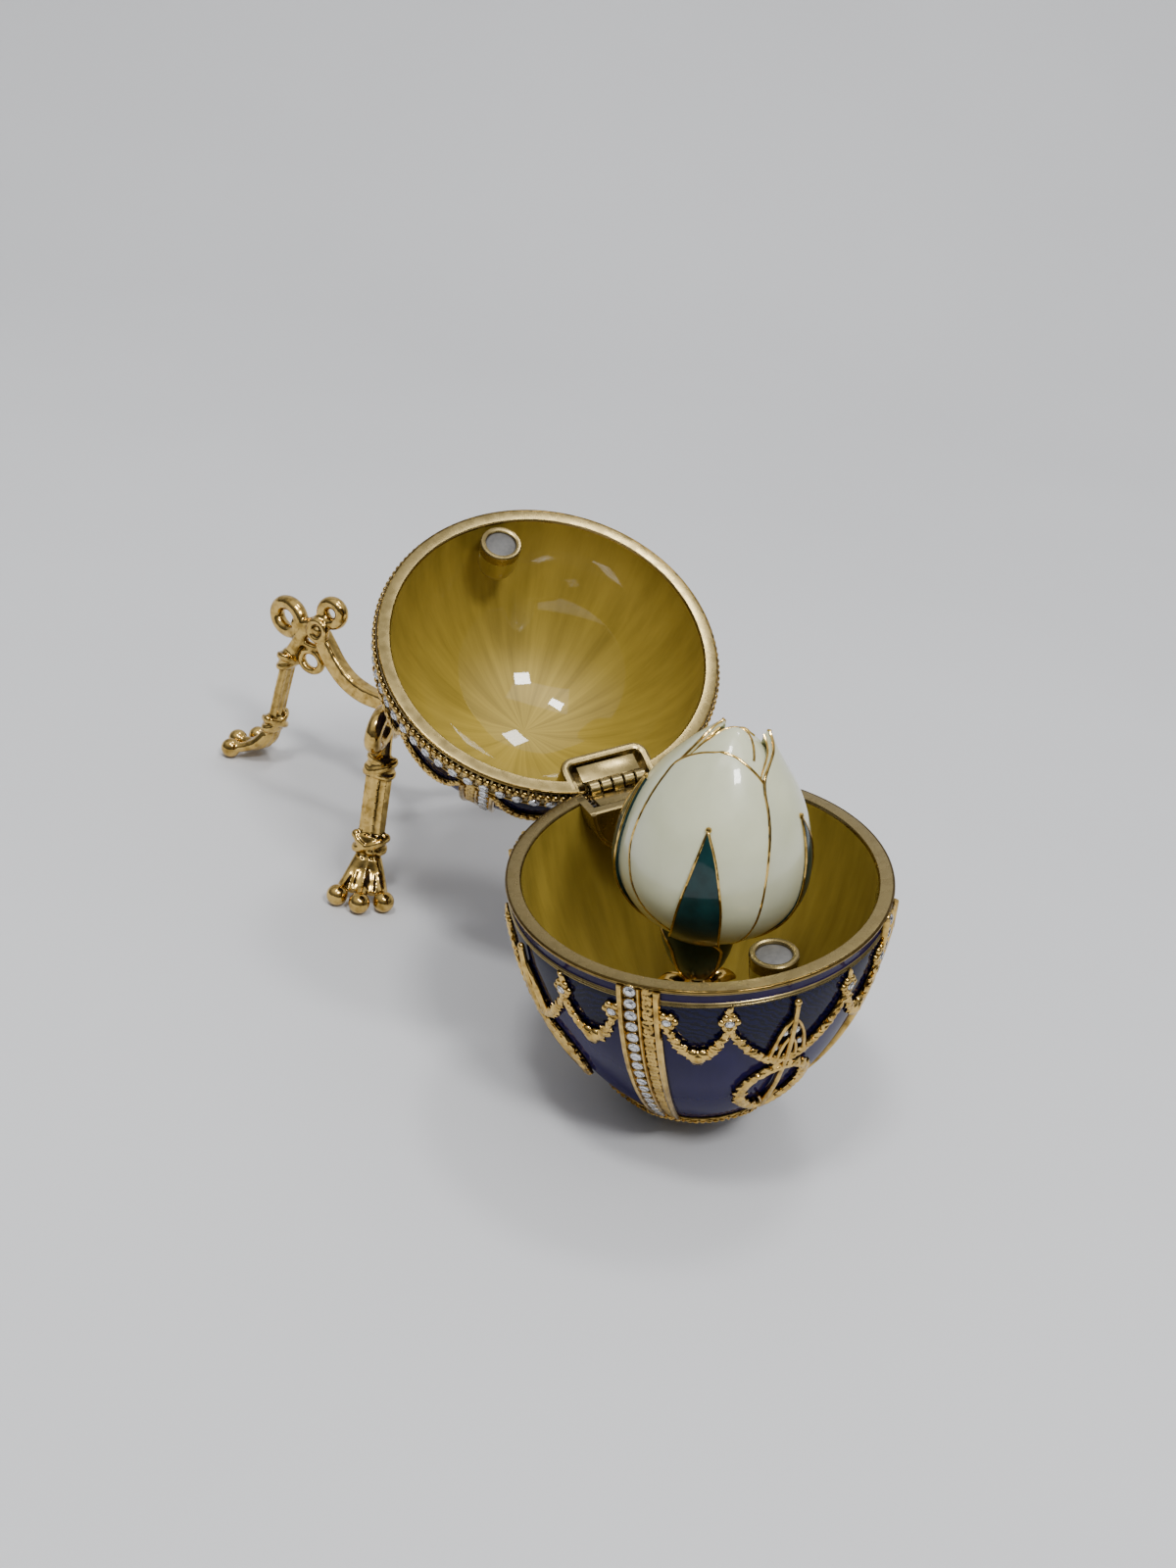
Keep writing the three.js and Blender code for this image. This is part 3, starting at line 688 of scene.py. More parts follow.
# %% The setting trees
def make_setting_tree(name, along):
    """Copies of a piece along a path, or at the path's own points if along is False."""
    tree, given = new_tree(
        name, piece="Object", spacing="Float", size="Float", lift="Float", turn="Float",
        jitter="Float", seed="Int", material="Material",
    )
    up = named(tree, "up", "FLOAT_VECTOR")
    if along:
        points = curve_of(tree, given["Geometry"], given["spacing"])
        facing = geometry(tree, "InputTangent")
        odd = sums(tree, "MODULO", geometry(tree, "InputIndex"), 2.0)
        side = sums(tree, "SUBTRACT", sums(tree, "MULTIPLY", odd, 2.0), 1.0)
    else:
        points = given["Geometry"]
        facing = vectors(tree, "CROSS_PRODUCT", up, (0, 0, 1))
        side = 1.0
    raised = vectors(tree, "SCALE", up, given["lift"])
    points = geometry(tree, "SetPosition", {"Geometry": points, "Offset": raised})
    axes = {"primary_axis": "Z", "secondary_axis": "X"}
    stand = add(tree, "FunctionNodeAxesToRotation", {0: up, 1: facing}, **axes)
    bounds = {2: sums(tree, "MULTIPLY", given["jitter"], -1.0), 3: given["jitter"]}
    stray = add(
        tree, "FunctionNodeRandomValue", {**bounds, "Seed": given["seed"]}, 1, data_type="FLOAT"
    )
    swing = sums(tree, "ADD", sums(tree, "MULTIPLY", side, given["turn"]), stray)
    spin = add(tree, "FunctionNodeAxisAngleToRotation", {0: (0, 0, 1), 1: swing})
    stand = add(tree, "FunctionNodeRotateRotation", {0: stand, 1: spin}, rotation_space="LOCAL")
    piece = geometry(tree, "ObjectInfo", {0: given["piece"], 1: True}, output="Geometry")
    scale = sums(tree, "MULTIPLY", named(tree, "wide", "FLOAT"), given["size"])
    inputs = {"Points": points, "Instance": piece, "Rotation": stand, "Scale": scale}
    return finish_tree(tree, geometry(tree, "InstanceOnPoints", inputs), given["material"])


cord_tree = make_cord_tree()
along_tree = make_setting_tree("set_along", True)
spot_tree = make_setting_tree("set_at_points", False)
print("nodes in the trees:", [len(tree.nodes) for tree in (cord_tree, along_tree, spot_tree)])


# %% Running the trees
def grown(name, tree, paths, **values):
    """Runs a tree over some paths and gives back the mesh it made."""
    obj = path_object(name, paths)
    modifier = obj.modifiers.new(tree.name, "NODES")
    modifier.node_group = tree
    for item in tree.interface.items_tree:
        if item.in_out == "INPUT" and item.name != "Geometry":
            modifier[item.identifier] = values.pop(item.name)
    if values:
        raise ValueError(f"{name}: the tree has no input called {list(values)}")
    made = evaluated(obj)
    for extra in {"up", "wide"} & set(made.data.attributes.keys()):
        made.data.attributes.remove(made.data.attributes[extra])
    return made


def cord(name, paths, half_width, height, **values):
    usual = dict(step=0.35, sides=8, lumps=0.0, lump_size=1.0, material=gold)
    return grown(name, cord_tree, paths, half_width=half_width, height=height, **(usual | values))


def set_along(name, piece, paths, spacing, tree=along_tree, **values):
    usual = dict(size=1.0, lift=0.0, turn=0.0, jitter=0.0, seed=1, material=gold)
    return grown(name, tree, paths, piece=piece, spacing=spacing, **(usual | values))


def set_at(name, piece, spots, **values):
    """Copies at single spots, each (point, up) or (point, up, wide)."""
    points, ups, widths = zip(*((*spot, 1.0)[:3] for spot in spots))
    return set_along(name, piece, [(points, ups, widths)], 1.0, spot_tree, **values)


# %% Joining pieces and marking the gold
def fused(name, objects):
    """Several meshes as one object, keeping each one's materials."""
    bpy.ops.object.select_all(action="DESELECT")
    for obj in objects:
        obj.select_set(True)
    bpy.context.view_layer.objects.active = objects[0]
    bpy.ops.object.join()
    objects[0].name = objects[0].data.name = name
    return objects[0]


def mark_recess(obj, depth_of):
    """An attribute for the gold's painted shade: 1 deep in a hollow, 0 where the gold stays bright."""
    place = read(obj.data.vertices, "co").astype(float)
    mark(obj.data, "recess", np.clip(depth_of(place), 0, 1))
    return obj


def near_surface(radius_of, sign, offset, low=0.12, high=0.6):
    """How close places are to the egg's own surface, from 1 at its skin to 0 well above it."""
    def depth_of(place):
        level = np.clip(sign * (place[:, 2] - offset), 0, None)
        radius = radius_of(level)
        slope = (radius_of(level + 0.1) - radius) / 0.1
        height = (np.linalg.norm(place[:, :2], axis=1) - radius) / np.sqrt(1 + slope**2)
        return np.where(height < -0.7, 0, (high - height) / (high - low))
    return depth_of


# %% Small pieces that are set many times
def stone_piece():
    """A brilliant of radius 1: eight-sided table, crown, girdle and a shallow pavilion."""
    rings = [(0.56, 0.42, 0.0), (0.97, 0.12, 0.5), (1.0, 0.0, 0.5)]
    points, faces = [], [tuple(range(8))]
    for r, z, shift in rings:
        points += [(r * math.cos(a), r * math.sin(a), z) for a in turns(8) + shift * math.pi / 4]
    for k in range(8):
        m = (k + 1) % 8
        faces += [(k, 8 + k, m), (8 + k, 8 + m, m), (8 + k, 16 + k, 16 + m, 8 + m), (16 + k, 24, 16 + m)]
    return raw_mesh("stone", *solid(points + [(0, 0, -0.55)], faces), [crystal])


def leaf_piece():
    """A pointed leaf along X, creased down the middle, hollow on either side of the crease."""
    stations = [(-1.0, 0.05, 0.0), (-0.5, 0.42, 0.28), (0.1, 0.55, 0.38), (0.65, 0.32, 0.26),
                (1.05, 0.03, 0.02)]
    points = []
    for x, half, high in stations:
        fold, side = half * 0.55, high * 0.75
        points += [(x, -half, 0.0), (x, -fold, side), (x, 0, high), (x, fold, side), (x, half, 0.0),
                   (x, 0, -0.35)]
    faces = [tuple(f) for f in lattice(5, 6, wrap=True)]
    faces += [(0, 1, 2, 3, 4, 5), (29, 28, 27, 26, 25, 24)]
    return raw_mesh("leaf", *solid(points, faces), [gold], angle=60)


def flower_piece():
    """Six round petals about a raised middle that a stone is set in."""
    points, faces = turned([(0, 0.5), (0.42, 0.38), (0.62, 0), (0.5, -0.35), (0, -0.4)], 8)
    petals = [(points + (1.05 * math.cos(a), 1.05 * math.sin(a), 0), faces) for a in turns(6)]
    middle = turned([(0, -0.4), (1.0, -0.4), (0.98, 0.35), (0.85, 0.52), (0.7, 0.4), (0, 0.3)], 12)
    return raw_mesh("flower", *merged(*petals, middle), [gold], angle=50)


def rounded(radius, squash, rings):
    """The outline of a ball, flattened by squash."""
    middle = [(radius * math.sin(t), radius * squash * math.cos(t))
              for t in np.linspace(0, math.pi, rings)[1:-1]]
    return [(0.0, radius * squash), *middle, (0.0, -radius * squash)]


BEAD_SQUASH = 0.8
CUP_OUTLINE = [(0, -0.5), (1.22, -0.5), (1.2, 0.05), (1.08, 0.16), (0.95, 0.06), (0.9, -0.2), (0, -0.35)]
stone, leaf, flower = stone_piece(), leaf_piece(), flower_piece()
bead = raw_mesh("bead", *turned(rounded(1, BEAD_SQUASH, 5), 8), [gold], angle=180)
cup = raw_mesh("cup", *turned(CUP_OUTLINE, 12), [gold], angle=50)
print("faces in a stone:", len(stone.data.polygons), "leaf:", len(leaf.data.polygons))

# %% [markdown]
# ## Ornament on the base
#
# Four upright bands divide the base into quarters. A band is a strip swept down the egg with
# two rails, a channel of stones and a bed of small leaves beside it. Each quarter has three
# garlands hung from stone-set flowers, and a wreath with an arrow through it. The garlands
# are lumpy cords with leaves laid along both sides, as they would be modelled in wax.

# %% Bands
BAND_ANGLES = (-135, -45, 45, 135)
PANEL_ANGLES = (-180, -90, 0, 90)
BAND_SECTION = [
    (-3.3, -0.4), (-3.3, 0.35), (-3.2, 0.66), (-2.95, 0.8), (-2.5, 0.74), (-2.3, 0.3), (-2.2, 0.14),
    (-0.35, 0.14), (-0.25, 0.4), (-0.1, 0.7), (0.15, 0.7), (0.3, 0.4), (0.4, 0.1), (2.1, 0.1),
    (2.2, 0.45), (2.4, 0.8), (2.75, 0.92), (3.1, 0.75), (3.3, 0.35), (3.3, -0.4),
]
STONE_ROW = -1.28
STONE_STEP = 2.4
LEAF_ROWS = (0.8, 1.25, 1.7)


def beside(on, levels, angle, width, offset, lift):
    """A path down the egg that keeps a distance in mm to one side of an angle."""
    points, ups = on(levels, angle, lift)
    across = np.array((-math.sin(math.radians(angle)), math.cos(math.radians(angle)), 0.0))
    return points + (offset * width)[:, None] * across, ups, width


def band_parts(tag, on, flip, first, last, stone_size=0.98):
    """All four bands of one half: the strips, the stones with their cups, and the leaves."""
    t = np.linspace(0, 1, 110)
    levels, width = first + (last - first) * t, 1.0 - 0.6 * t**3
    section = [(flip * s, h) for s, h in BAND_SECTION]
    strips, stones, leaves = [], [], []
    for angle in BAND_ANGLES:
        strips.append(swept(*on(levels, angle), section, width, 0.6 + 0.4 * width))
        stones.append(beside(on, levels[2:-2], angle, width[2:-2], STONE_ROW, 0.36))
        leaves += [beside(on, levels[1:-1], angle, width[1:-1], row, 0.28) for row in LEAF_ROWS]
    return [
        raw_mesh(tag + "_bands", *merged(*strips), [gold]),
        set_along(tag + "_cups", cup, stones, STONE_STEP, size=stone_size, lift=-0.02),
        set_along(tag + "_leaves", leaf, leaves, 1.0, size=0.8, turn=0.7, jitter=0.7, seed=4),
    ], set_stones(tag, set_along, stones, (stone_size * 0.9, -0.12), (stone_size, 0.12), STONE_STEP)


def set_stones(tag, setter, places, foil_fit, stone_fit, *spacing):
    """Stones with a bright foil under each. A fit is (size, lift)."""
    return [
        setter(f"{tag}_{kind}", stone, places, *spacing, size=size, lift=lift, material=material)
        for kind, (size, lift), material in (("foils", foil_fit, foil), ("stones", stone_fit, crystal))
    ]


base_gold, base_stones = band_parts("base", on_base, -1, 0.5, 43.0)


# %% Garlands
def swag_path(on, first, last, top, low):
    t = np.linspace(-1, 1, 40)
    angles = (first + last) / 2 + (last - first) / 2 * t
    return *on(low - (low - top) * t**2, angles, 0.25), 1.2 - 0.45 * np.abs(t)


def garland(tag, paths, half_width, leaf_size, step=0.8):
    """A lumpy cord with two layers of leaves, the upper one smaller and looser."""
    low = dict(size=leaf_size, lift=0.4, turn=0.85, jitter=0.5, seed=2)
    high = dict(size=leaf_size * 0.85, lift=0.62, turn=0.3, jitter=0.9, seed=7)
    return [
        cord(tag + "_cord", paths, half_width, half_width * 0.95, step=0.3, lumps=0.45, lump_size=1.3),
        set_along(tag + "_leaf_a", leaf, paths, step, **low),
        set_along(tag + "_leaf_b", leaf, paths, step * 1.3, **high),
    ]


HEART = ((-0.5, -1.5, 1.3), (-0.5, 1.5, 1.3), (0.6, 0.0, 1.3), (0.0, 0.0, 1.6))
BARBS = (
    [(7.4, 0.2), (9.2, 2.6), (12.2, 4.8), (16.2, 6.2)], [(11.4, 0.3), (13.6, 2.4), (16.8, 3.4)],
    [(26.6, 4.2), (28.2, 2.0), (29.6, 0.4)], [(28.4, 4.6), (30.0, 2.4), (31.4, 0.6)],
)
swags, wreaths, arrows, barbs, flowers, tufts, hearts, glints = ([] for _ in range(8))
for middle in PANEL_ANGLES:
    swags.append(swag_path(on_base, middle - LARGE_REACH, middle + LARGE_REACH, SWAG_TOP, LARGE_LOW))
    turn = turns(72)
    wreath = on_base(24.4 + 6.0 * np.cos(turn), middle + 12.6 * np.sin(turn), 0.3)
    wreaths.append((*wreath, 1.0, True))
    arrows.append((*on_base(np.linspace(4.4, 30.5, 50), middle, 0.75), 1.0))
    for side in (-1, 1):
        ends = sorted((middle + side * LARGE_REACH, middle + side * SMALL_REACH))
        swags.append(swag_path(on_base, *ends, SWAG_TOP, SMALL_LOW))
        flowers += [on_base(5.9, middle + side * reach, 0.15) for reach in (LARGE_REACH, SMALL_REACH)]
        tufts.append((*on_base([4.9, 4.3, 3.6], middle + side * LARGE_REACH, 0.2), 1.0))
        for level, aside, size in HEART:
            hearts.append((*on_base(SMALL_LOW + level, sum(ends) / 2 + aside, 0.45), size))
        for row in BARBS:
            level, aside = curve_through(row, 14).T
            barb = on_base(level, middle + side * aside, 0.45)
            barbs.append((*barb, np.linspace(0.8, 1.1, 14)))
        glints += [on_base(level, middle + side * aside, 0.3) for level, aside in ((10.6, 1.9), (13.6, 4.4))]

base_gold += garland("swag", swags, 0.58, 1.2)
base_gold += garland("wreath", wreaths, 0.66, 1.4, 0.85)
base_gold += [
    cord("arrow_shafts", arrows, 0.42, 0.6, step=0.5, lumps=0.12),
    cord("arrow_barbs", barbs, 0.33, 0.6, step=0.4, lumps=0.15),
    set_at("arrow_tips", bead, [on_base(4.1, m, 0.75) for m in PANEL_ANGLES], size=0.7),
    set_at("base_flowers", flower, flowers, size=1.08, lift=0.25),
    set_at("base_hearts", bead, hearts, size=0.95),
    set_along("base_tufts", leaf, tufts, 0.5, size=0.95, lift=0.2, turn=0.5, jitter=0.5),
    set_at("glint_cups", cup, glints, size=0.66, lift=-0.05),
]
base_stones += set_stones("flower", set_at, flowers, (0.74, 0.42), (0.84, 0.66))
base_stones += set_stones("glint", set_at, glints, (0.6, -0.1), (0.66, 0.05))

# %% Foot of the base
scallops = 36.6 + 1.6 * np.abs(np.sin(turns(144) * 4))
foot_ring = [ring_path(on_base, 39.4, 0.2, 144)]
foot_leaves = [on_base(41.6, 22.5 * k + 11.25, 0.1) for k in range(16)]
base_gold += garland("foot_edge", [ring_path(on_base, scallops, 0.2, 144)], 0.45, 0.6)
base_gold += [
    set_along("foot_cups", cup, foot_ring, 2.1, size=0.66),
    set_at("foot_leaves", leaf, foot_leaves, size=1.9, turn=math.pi / 2),
]
base_stones.append(set_along("foot_stones", stone, foot_ring, 2.1, size=0.66, lift=0.1, material=crystal))

# %% Magnet seats
MAGNET_Y = -23.2
BOSS = [(0, -7.6), (2.2, -7.4), (3.1, -6.8), (3.5, -5.6), (3.64, -4.0), (3.66, -0.9), (0, -0.9)]
RING = [(3.05, -2.4), (3.64, -2.4), (3.7, -1.0), (3.76, -0.6), (3.72, -0.22), (3.55, -0.03), (3.2, 0.02),
        (2.86, -0.08), (2.72, -0.3), (2.7, -0.5), (3.05, -0.6), (3.05, -2.4)]
DISC = [(0, -2.0), (2.9, -2.0), (2.98, -1.9), (2.98, -0.72), (2.9, -0.66), (2.7, -0.62), (2.4, -0.42),
        (0, -0.4)]


def magnet_seat(tag, rim_z, direction, home):
    """The enamelled boss, the magnet in it and the gold ring round that, which is given back."""
    boss, ring, disc = (
        turned([(r, rim_z - direction * z) for r, z in outline], 64) for outline in (BOSS, RING, DISC)
    )
    shift = (0, MAGNET_Y, 0)
    disc = raw_mesh(tag + "_magnet_disc", disc[0] + shift, disc[1], [magnet])
    settle(disc, home, "magnet", tag + "_magnet")
    boss = raw_mesh(tag + "_magnet_boss", boss[0] + shift, boss[1], [yellow])
    settle(boss, home, "yellow_enamel")
    return raw_mesh(tag + "_ring", ring[0] + shift, ring[1], [rim_gold])


base_gold.append(magnet_seat("base", 0.0, -1, EGG))


# %% Hinge apron and the rest of the base
def plate_of(outline, y0, y1, bevel=0.35):
    """A flat plate from an outline in X and Z, between two Y places, with a softened front."""
    centre = outline.mean(axis=0)
    reach = np.linalg.norm(outline - centre, axis=1)[:, None]
    inset = centre + (outline - centre) * (1 - bevel / reach)
    rows = [(inset, y0), (outline, y0 + bevel), (outline, y1)]
    points = np.concatenate([np.insert(edge, 1, y, axis=1) for edge, y in rows])
    n = len(outline)
    ends = [tuple(range(n))[::-1], tuple(range(2 * n, 3 * n))]
    return solid(points, [tuple(f) for f in lattice(3, n, wrap=True)] + ends)


swing = np.linspace(math.pi, 2 * math.pi, 40)
around = np.stack([np.cos(swing), np.sin(swing)], axis=1)
apron = raw_mesh("base_apron", *plate_of(around * (8.0, 9.0), 22.5, 28.0), [rim_gold])
apron_edge = np.insert(around * (7.5, 8.5) - (0, 0.1), 1, 22.35, axis=1)
apron_edge = [(apron_edge, [(0, -1, 0)] * 40, 1.0)]
base_gold += [
    cord("apron_edge", apron_edge, 0.5, 0.35, step=0.4, sides=10, material=rim_gold),
    notched(apron, box_of(*NOTCH, -NOTCH_REACH, NOTCH_REACH), 0),
    cord("base_rim_edge", [ring_path(on_base, 0.35, -0.02, 144)], 0.36, 0.3, step=0.6),
]
# Painted shade darkens the gold where it lies close to the egg's skin.
base_ornament = mark_recess(fused("base_ornament", base_gold), near_surface(base_radius, -1, 0))
settle(base_ornament, EGG, "gold", angle=0)
settle(fused("base_crystals", base_stones), EGG, "crystal", angle=0)

# %% [markdown]
# ## Ornament on the lid
#
# The lid repeats the base's bands, and hangs twelve small scallops from its rim. The rim
# itself carries a row of beads and a row of stones, which is what shows most when the egg
# lies open. Everything is drawn with the lid shut and turns with it about the pin.

# %% Lid bands, scallops, beads and stones
lid_gold, lid_stones = band_parts("lid", on_lid, 1, 5.2, 28.6)

centres = [middle + k * SCALLOP_STEP for middle in (0, 90, 180, 270) for k in (-1, 0, 1)]
half = SCALLOP_STEP / 2
scallops = [swag_path(on_lid, c - half, c + half, SCALLOP_TOP + 0.5, SCALLOP_LOW) for c in centres]
drops = [on_lid(SCALLOP_TOP + 1.0, middle + side * half, 0.2)
         for middle in (0, 90, 180, 270) for side in (-1, 1)]
stone_line = [ring_path(on_lid, 3.55, 0.3)]
studs = [on_lid(level, 5.6 * k, 0.2) for k in range(64) for level in (2.7, 4.5)]
lid_gold += garland("scallop", scallops, 0.46, 0.85)
lid_gold += [
    set_at("lid_flowers", flower, drops, size=0.86, lift=0.15),
    cord("lid_rim_edge", [ring_path(on_lid, 0.35, -0.02)], 0.36, 0.3, step=0.6),
    set_along("rim_beads", bead, [ring_path(on_lid, 1.6, 0.4)], 1.3, size=0.66),
    set_along("rim_cups", cup, stone_line, 2.91, size=1.0, lift=0.05),
    set_at("rim_studs", bead, studs, size=0.5),
    cord("under_line", [ring_path(on_lid, 4.95, 0.05)], 0.28, 0.3, step=1.0),
]
lid_stones += set_stones("lid_flower", set_at, drops, (0.58, 0.3), (0.66, 0.5))
lid_stones += set_stones("rim", set_along, stone_line, (0.9, 0.0), (1.0, 0.22), 2.91)

# %% Crown of the lid
CROWN = [(0, 29.2), (6.4, 29.2), (6.6, 29.5), (6.0, 30.2), (3.0, 30.75), (2.6, 31.1), (0, 31.2)]
top_stone = [((0.0, 0.0, 31.3), (0.0, 0.01, 1.0))]
crown_leaves = [on_lid(27.2, 22.5 * k, 0.15) for k in range(16)]
lid_gold += [
    raw_mesh("crown", *turned(CROWN, 48), [gold]),
    set_at("crown_leaves", leaf, crown_leaves, size=1.7, turn=math.pi / 2),
    set_along("crown_beads", bead, [ring_path(on_lid, 28.2, 0.5, 90)], 1.5, size=0.5),
    set_at("top_cup", cup, top_stone, size=1.9),
    magnet_seat("lid", GAP, 1, LID),
]
lid_stones.append(set_at("top_stone", stone, top_stone, size=1.9, lift=0.1, material=crystal))

# %% Hinge surround on the lid
SURROUND = [(0.75, -2.6), (0.75, 2.3), (0.55, 2.62), (0.2, 2.75)]
SURROUND = [(-s, h) for s, h in SURROUND] + SURROUND[::-1]
corner = [(-5.5 - 1.8 * math.cos(t), 25.0 - 1.8 * math.sin(t)) for t in np.linspace(0, math.pi / 2, 8)]
left_side = [(-7.3, 28.6), (-7.3, 26.4)] + corner
spots = [(x, y, GAP + 2.7) for x, y in left_side + [(-x, y) for x, y in left_side[::-1]]]
lid_gold += [
    raw_mesh("hinge_surround", *swept(spots, (0, 0, -1), SURROUND), [rim_gold]),
    raw_mesh("hinge_back", *box_of(-7.0, 7.0, 23.6, 28.0, GAP + 3.4, GAP + 5.2), [rim_gold]),
]
# Painted shade darkens the gold where it lies close to the lid's skin.
lid_ornament = mark_recess(fused("lid_ornament", lid_gold), near_surface(lid_radius, 1, GAP))
settle(lid_ornament, LID, "gold", angle=0)
settle(fused("lid_crystals", lid_stones), LID, "crystal", angle=0)

# %% [markdown]
# ## Hinge
#
# Two thin leaves lie in the notches and their knuckles take turns on one pin. The knuckles
# are turned barrels with softened ends. Between them the gaps are the true working gaps,
# since the lid has to swing all the way shut.

# %% Hinge leaves and pin
HINGE_WIDTH = 10.6
KNUCKLES = 5
KNUCKLE_R = 1.35
PIN_R = 0.55
SOFT = 0.12


def on_the_pin(outline, sides):
    """An outline of (radius, x) turned about the pin."""
    points, faces = turned(outline, sides)
    return points[:, [2, 0, 1]] + (0, HINGE_Y, GAP / 2), faces


def hinge_leaf(name, first, direction):
    pitch = HINGE_WIDTH / KNUCKLES
    half, bore = (pitch - GAP) / 2, PIN_R + 0.3
    z = GAP / 2 + direction * (GAP / 2 + 0.55)
    front, back = 24.6, HINGE_Y - KNUCKLE_R - GAP - 0.1
    parts = [box_of(-HINGE_WIDTH / 2, HINGE_WIDTH / 2, front, back, z - 0.4, z + 0.4)]
    for i in range(first, KNUCKLES, 2):
        middle = (i - (KNUCKLES - 1) / 2) * pitch
        x0, x1 = middle - half, middle + half
        barrel = [(bore, x0), (KNUCKLE_R - SOFT, x0), (KNUCKLE_R, x0 + SOFT), (KNUCKLE_R, x1 - SOFT),
                  (KNUCKLE_R - SOFT, x1), (bore, x1), (bore, x0)]
        parts.append(on_the_pin(barrel, 32))
        parts.append(box_of(x0, x1, back - 0.1, HINGE_Y - 0.9, z - 0.4, z + 0.4))
    obj = raw_mesh(name, *merged(*parts), [rim_gold])
    bevel = obj.modifiers.new("soft edges", "BEVEL")
    bevel.width, bevel.segments = 0.08, 2
    bevel.limit_method, bevel.angle_limit = "ANGLE", math.radians(50)
    return evaluated(obj)


settle(hinge_leaf("base_leaf", 0, -1), EGG, "gold", "base_hinge_leaf")
settle(hinge_leaf("lid_leaf", 1, 1), LID, "gold", "lid_hinge_leaf")
pin_end = [(0, 5.45), (0.4, 5.42), (0.62, 5.3), (PIN_R, 5.15)]
pin = on_the_pin([(r, -x) for r, x in pin_end] + pin_end[::-1], 24)
settle(raw_mesh("pin", *pin, [rim_gold]), EGG, "gold", "hinge_pin")

# %% [markdown]
# ## Rosebud
#
# The bud is a pointed ball with petals wrapped round it, and it leans a little about its
# neck. A petal is a curved sheet of even thickness: its two edges are drawn as rows of
# places on the ball, an angle and a height each, and the sheet is filled between them.
# Later petals lie over earlier ones, and a gold wire runs along each edge, as it does in
# cloisonne.

# %% Bud surface
NECK_Z = -9.5
WAIST_Z = 3.0
TOP_Z = 26.3
BUD_R = 14.4
LOWER_REACH = 12.3
LEAN_TOWARDS = math.radians(-25.4)
lean_axis = Vector((-math.sin(LEAN_TOWARDS), math.cos(LEAN_TOWARDS), 0))
LEAN_TURN = np.array(Matrix.Rotation(math.radians(8.7), 3, lean_axis)).T
NECK = np.array((0.0, 0.0, NECK_Z))


def leaned(points, ups=None):
    """The points turned about the neck, and the directions with them."""
    points = NECK + (points - NECK) @ LEAN_TURN
    return points if ups is None else (points, ups @ LEAN_TURN)


def bud_radius(z):
    low = np.clip((WAIST_Z - z) / LOWER_REACH, 0, 0.94)
    high = np.clip((z - WAIST_Z) / (TOP_Z - WAIST_Z), 0, 1)
    return BUD_R * np.where(z < WAIST_Z, np.sqrt(1 - low**2), (1 - high**2) ** 0.8)


def on_bud(angle, z, lift):
    """Point and outward direction on the leaning bud at an angle in degrees and a height."""
    return leaned(*place_on(bud_radius, 1, 0, z, angle, lift, 0.05))


def petal_sheet(left, right, lift, curl=0.0, thickness=0.5, rows=64, columns=32, belly_rise=0.3):
    """A closed sheet between two edges of (angle, z), with the lines of its outer and inner edge."""
    left, right = curve_through(left, rows), curve_through(right, rows)
    across, v = np.linspace(0, 1, columns), np.linspace(0, 1, rows)[:, None]
    angle, z = (a[:, None] * (1 - across) + b[:, None] * across for a, b in zip(left.T, right.T))
    belly = lift + belly_rise * np.sqrt(np.minimum(across, 1 - across) * 2)
    belly = belly * np.clip(0.6 + v, 0, 1) + np.clip((v - 0.6) / 0.4, 0, 1) ** 1.5 * curl
    outer, up = on_bud(angle, z, belly)
    inner = outer - up * (thickness + lift)
    sheet, border = sheet_of(outer, inner)
    free = border[: 2 * rows + columns - 2]
    outer, inner, up = (grid.reshape(-1, 3)[free] for grid in (outer, inner, up))
    return sheet, (outer, up), (inner, up)


def wire(line, first, last, wide=1.0):
    return line[0][first:last], line[1][first:last], wide


# %% Petals
BACK = (
    [(2, -9), (0, -3), (-4, 3), (-6, 9), (-4, 14), (2, 18), (14, 21.2), (34, 23.2)],
    [(94, -9), (100, -3), (104, 3), (105, 9), (102, 14), (94, 18), (80, 21.2), (56, 23.3)],
)
SIDE = (
    [(238, -9), (226, -4.5), (212, -1), (199, 3), (191, 8), (185, 12), (178, 16), (171, 18.6),
     (164.5, 20), (161.5, 21.7), (154.3, 23.2), (136, 24.3), (104, 24.8)],
    [(80, -9), (74, -4.5), (68, -1), (64, 3), (61, 8), (60, 12), (62, 16), (66, 18.6), (70, 20.4),
     (75, 22), (82, 23.4), (90, 24.4), (98, 24.9)],
)
FRONT = (
    [(-122, -9), (-133, -6.2), (-143.9, -3.7), (-152.6, -2.5), (-163.4, -0.7), (-172, 1.7),
     (-179.1, 4.9), (-183.1, 7), (-185.8, 9.7), (-187.6, 12.2), (-190.1, 15), (-193.2, 17.7),
     (-196, 19.6), (-188.9, 21.3), (-172.6, 22.7), (-146.8, 23.6)],
    [(-66, z) for z in range(-9, 13, 3)]
    + [(-68, 15), (-71, 17.5), (-76, 19.6), (-82, 20.9), (-88, 21.8), (-98.8, 22.7), (-114, 23.4),
       (-130, 23.65)],
)
RIGHT = (
    [(-92, -9), (-91, -3), (-89.4, 3.4), (-88.5, 7.7), (-86.9, 11.5), (-84.8, 14.7), (-83.4, 17.4),
     (-82.8, 19.6), (-78, 21.2), (-62, 22.4), (-38, 23.2), (-12, 23.9)],
    [(8, -9), (18, -3), (27, 3.4), (31, 7.7), (33, 11.5), (32, 14.7), (30, 17.4), (26, 19.6),
     (20, 21.2), (12, 22.4), (2, 23.3), (-8, 24)],
)
PETALS = ((BACK, 0.08, 0.2), (SIDE, 0.22, 0.85), (FRONT, 0.42, 0.1), (RIGHT, 0.6, 1.45))
sheets, rims, lips = zip(*(petal_sheet(*edges, lift, curl) for edges, lift, curl in PETALS))

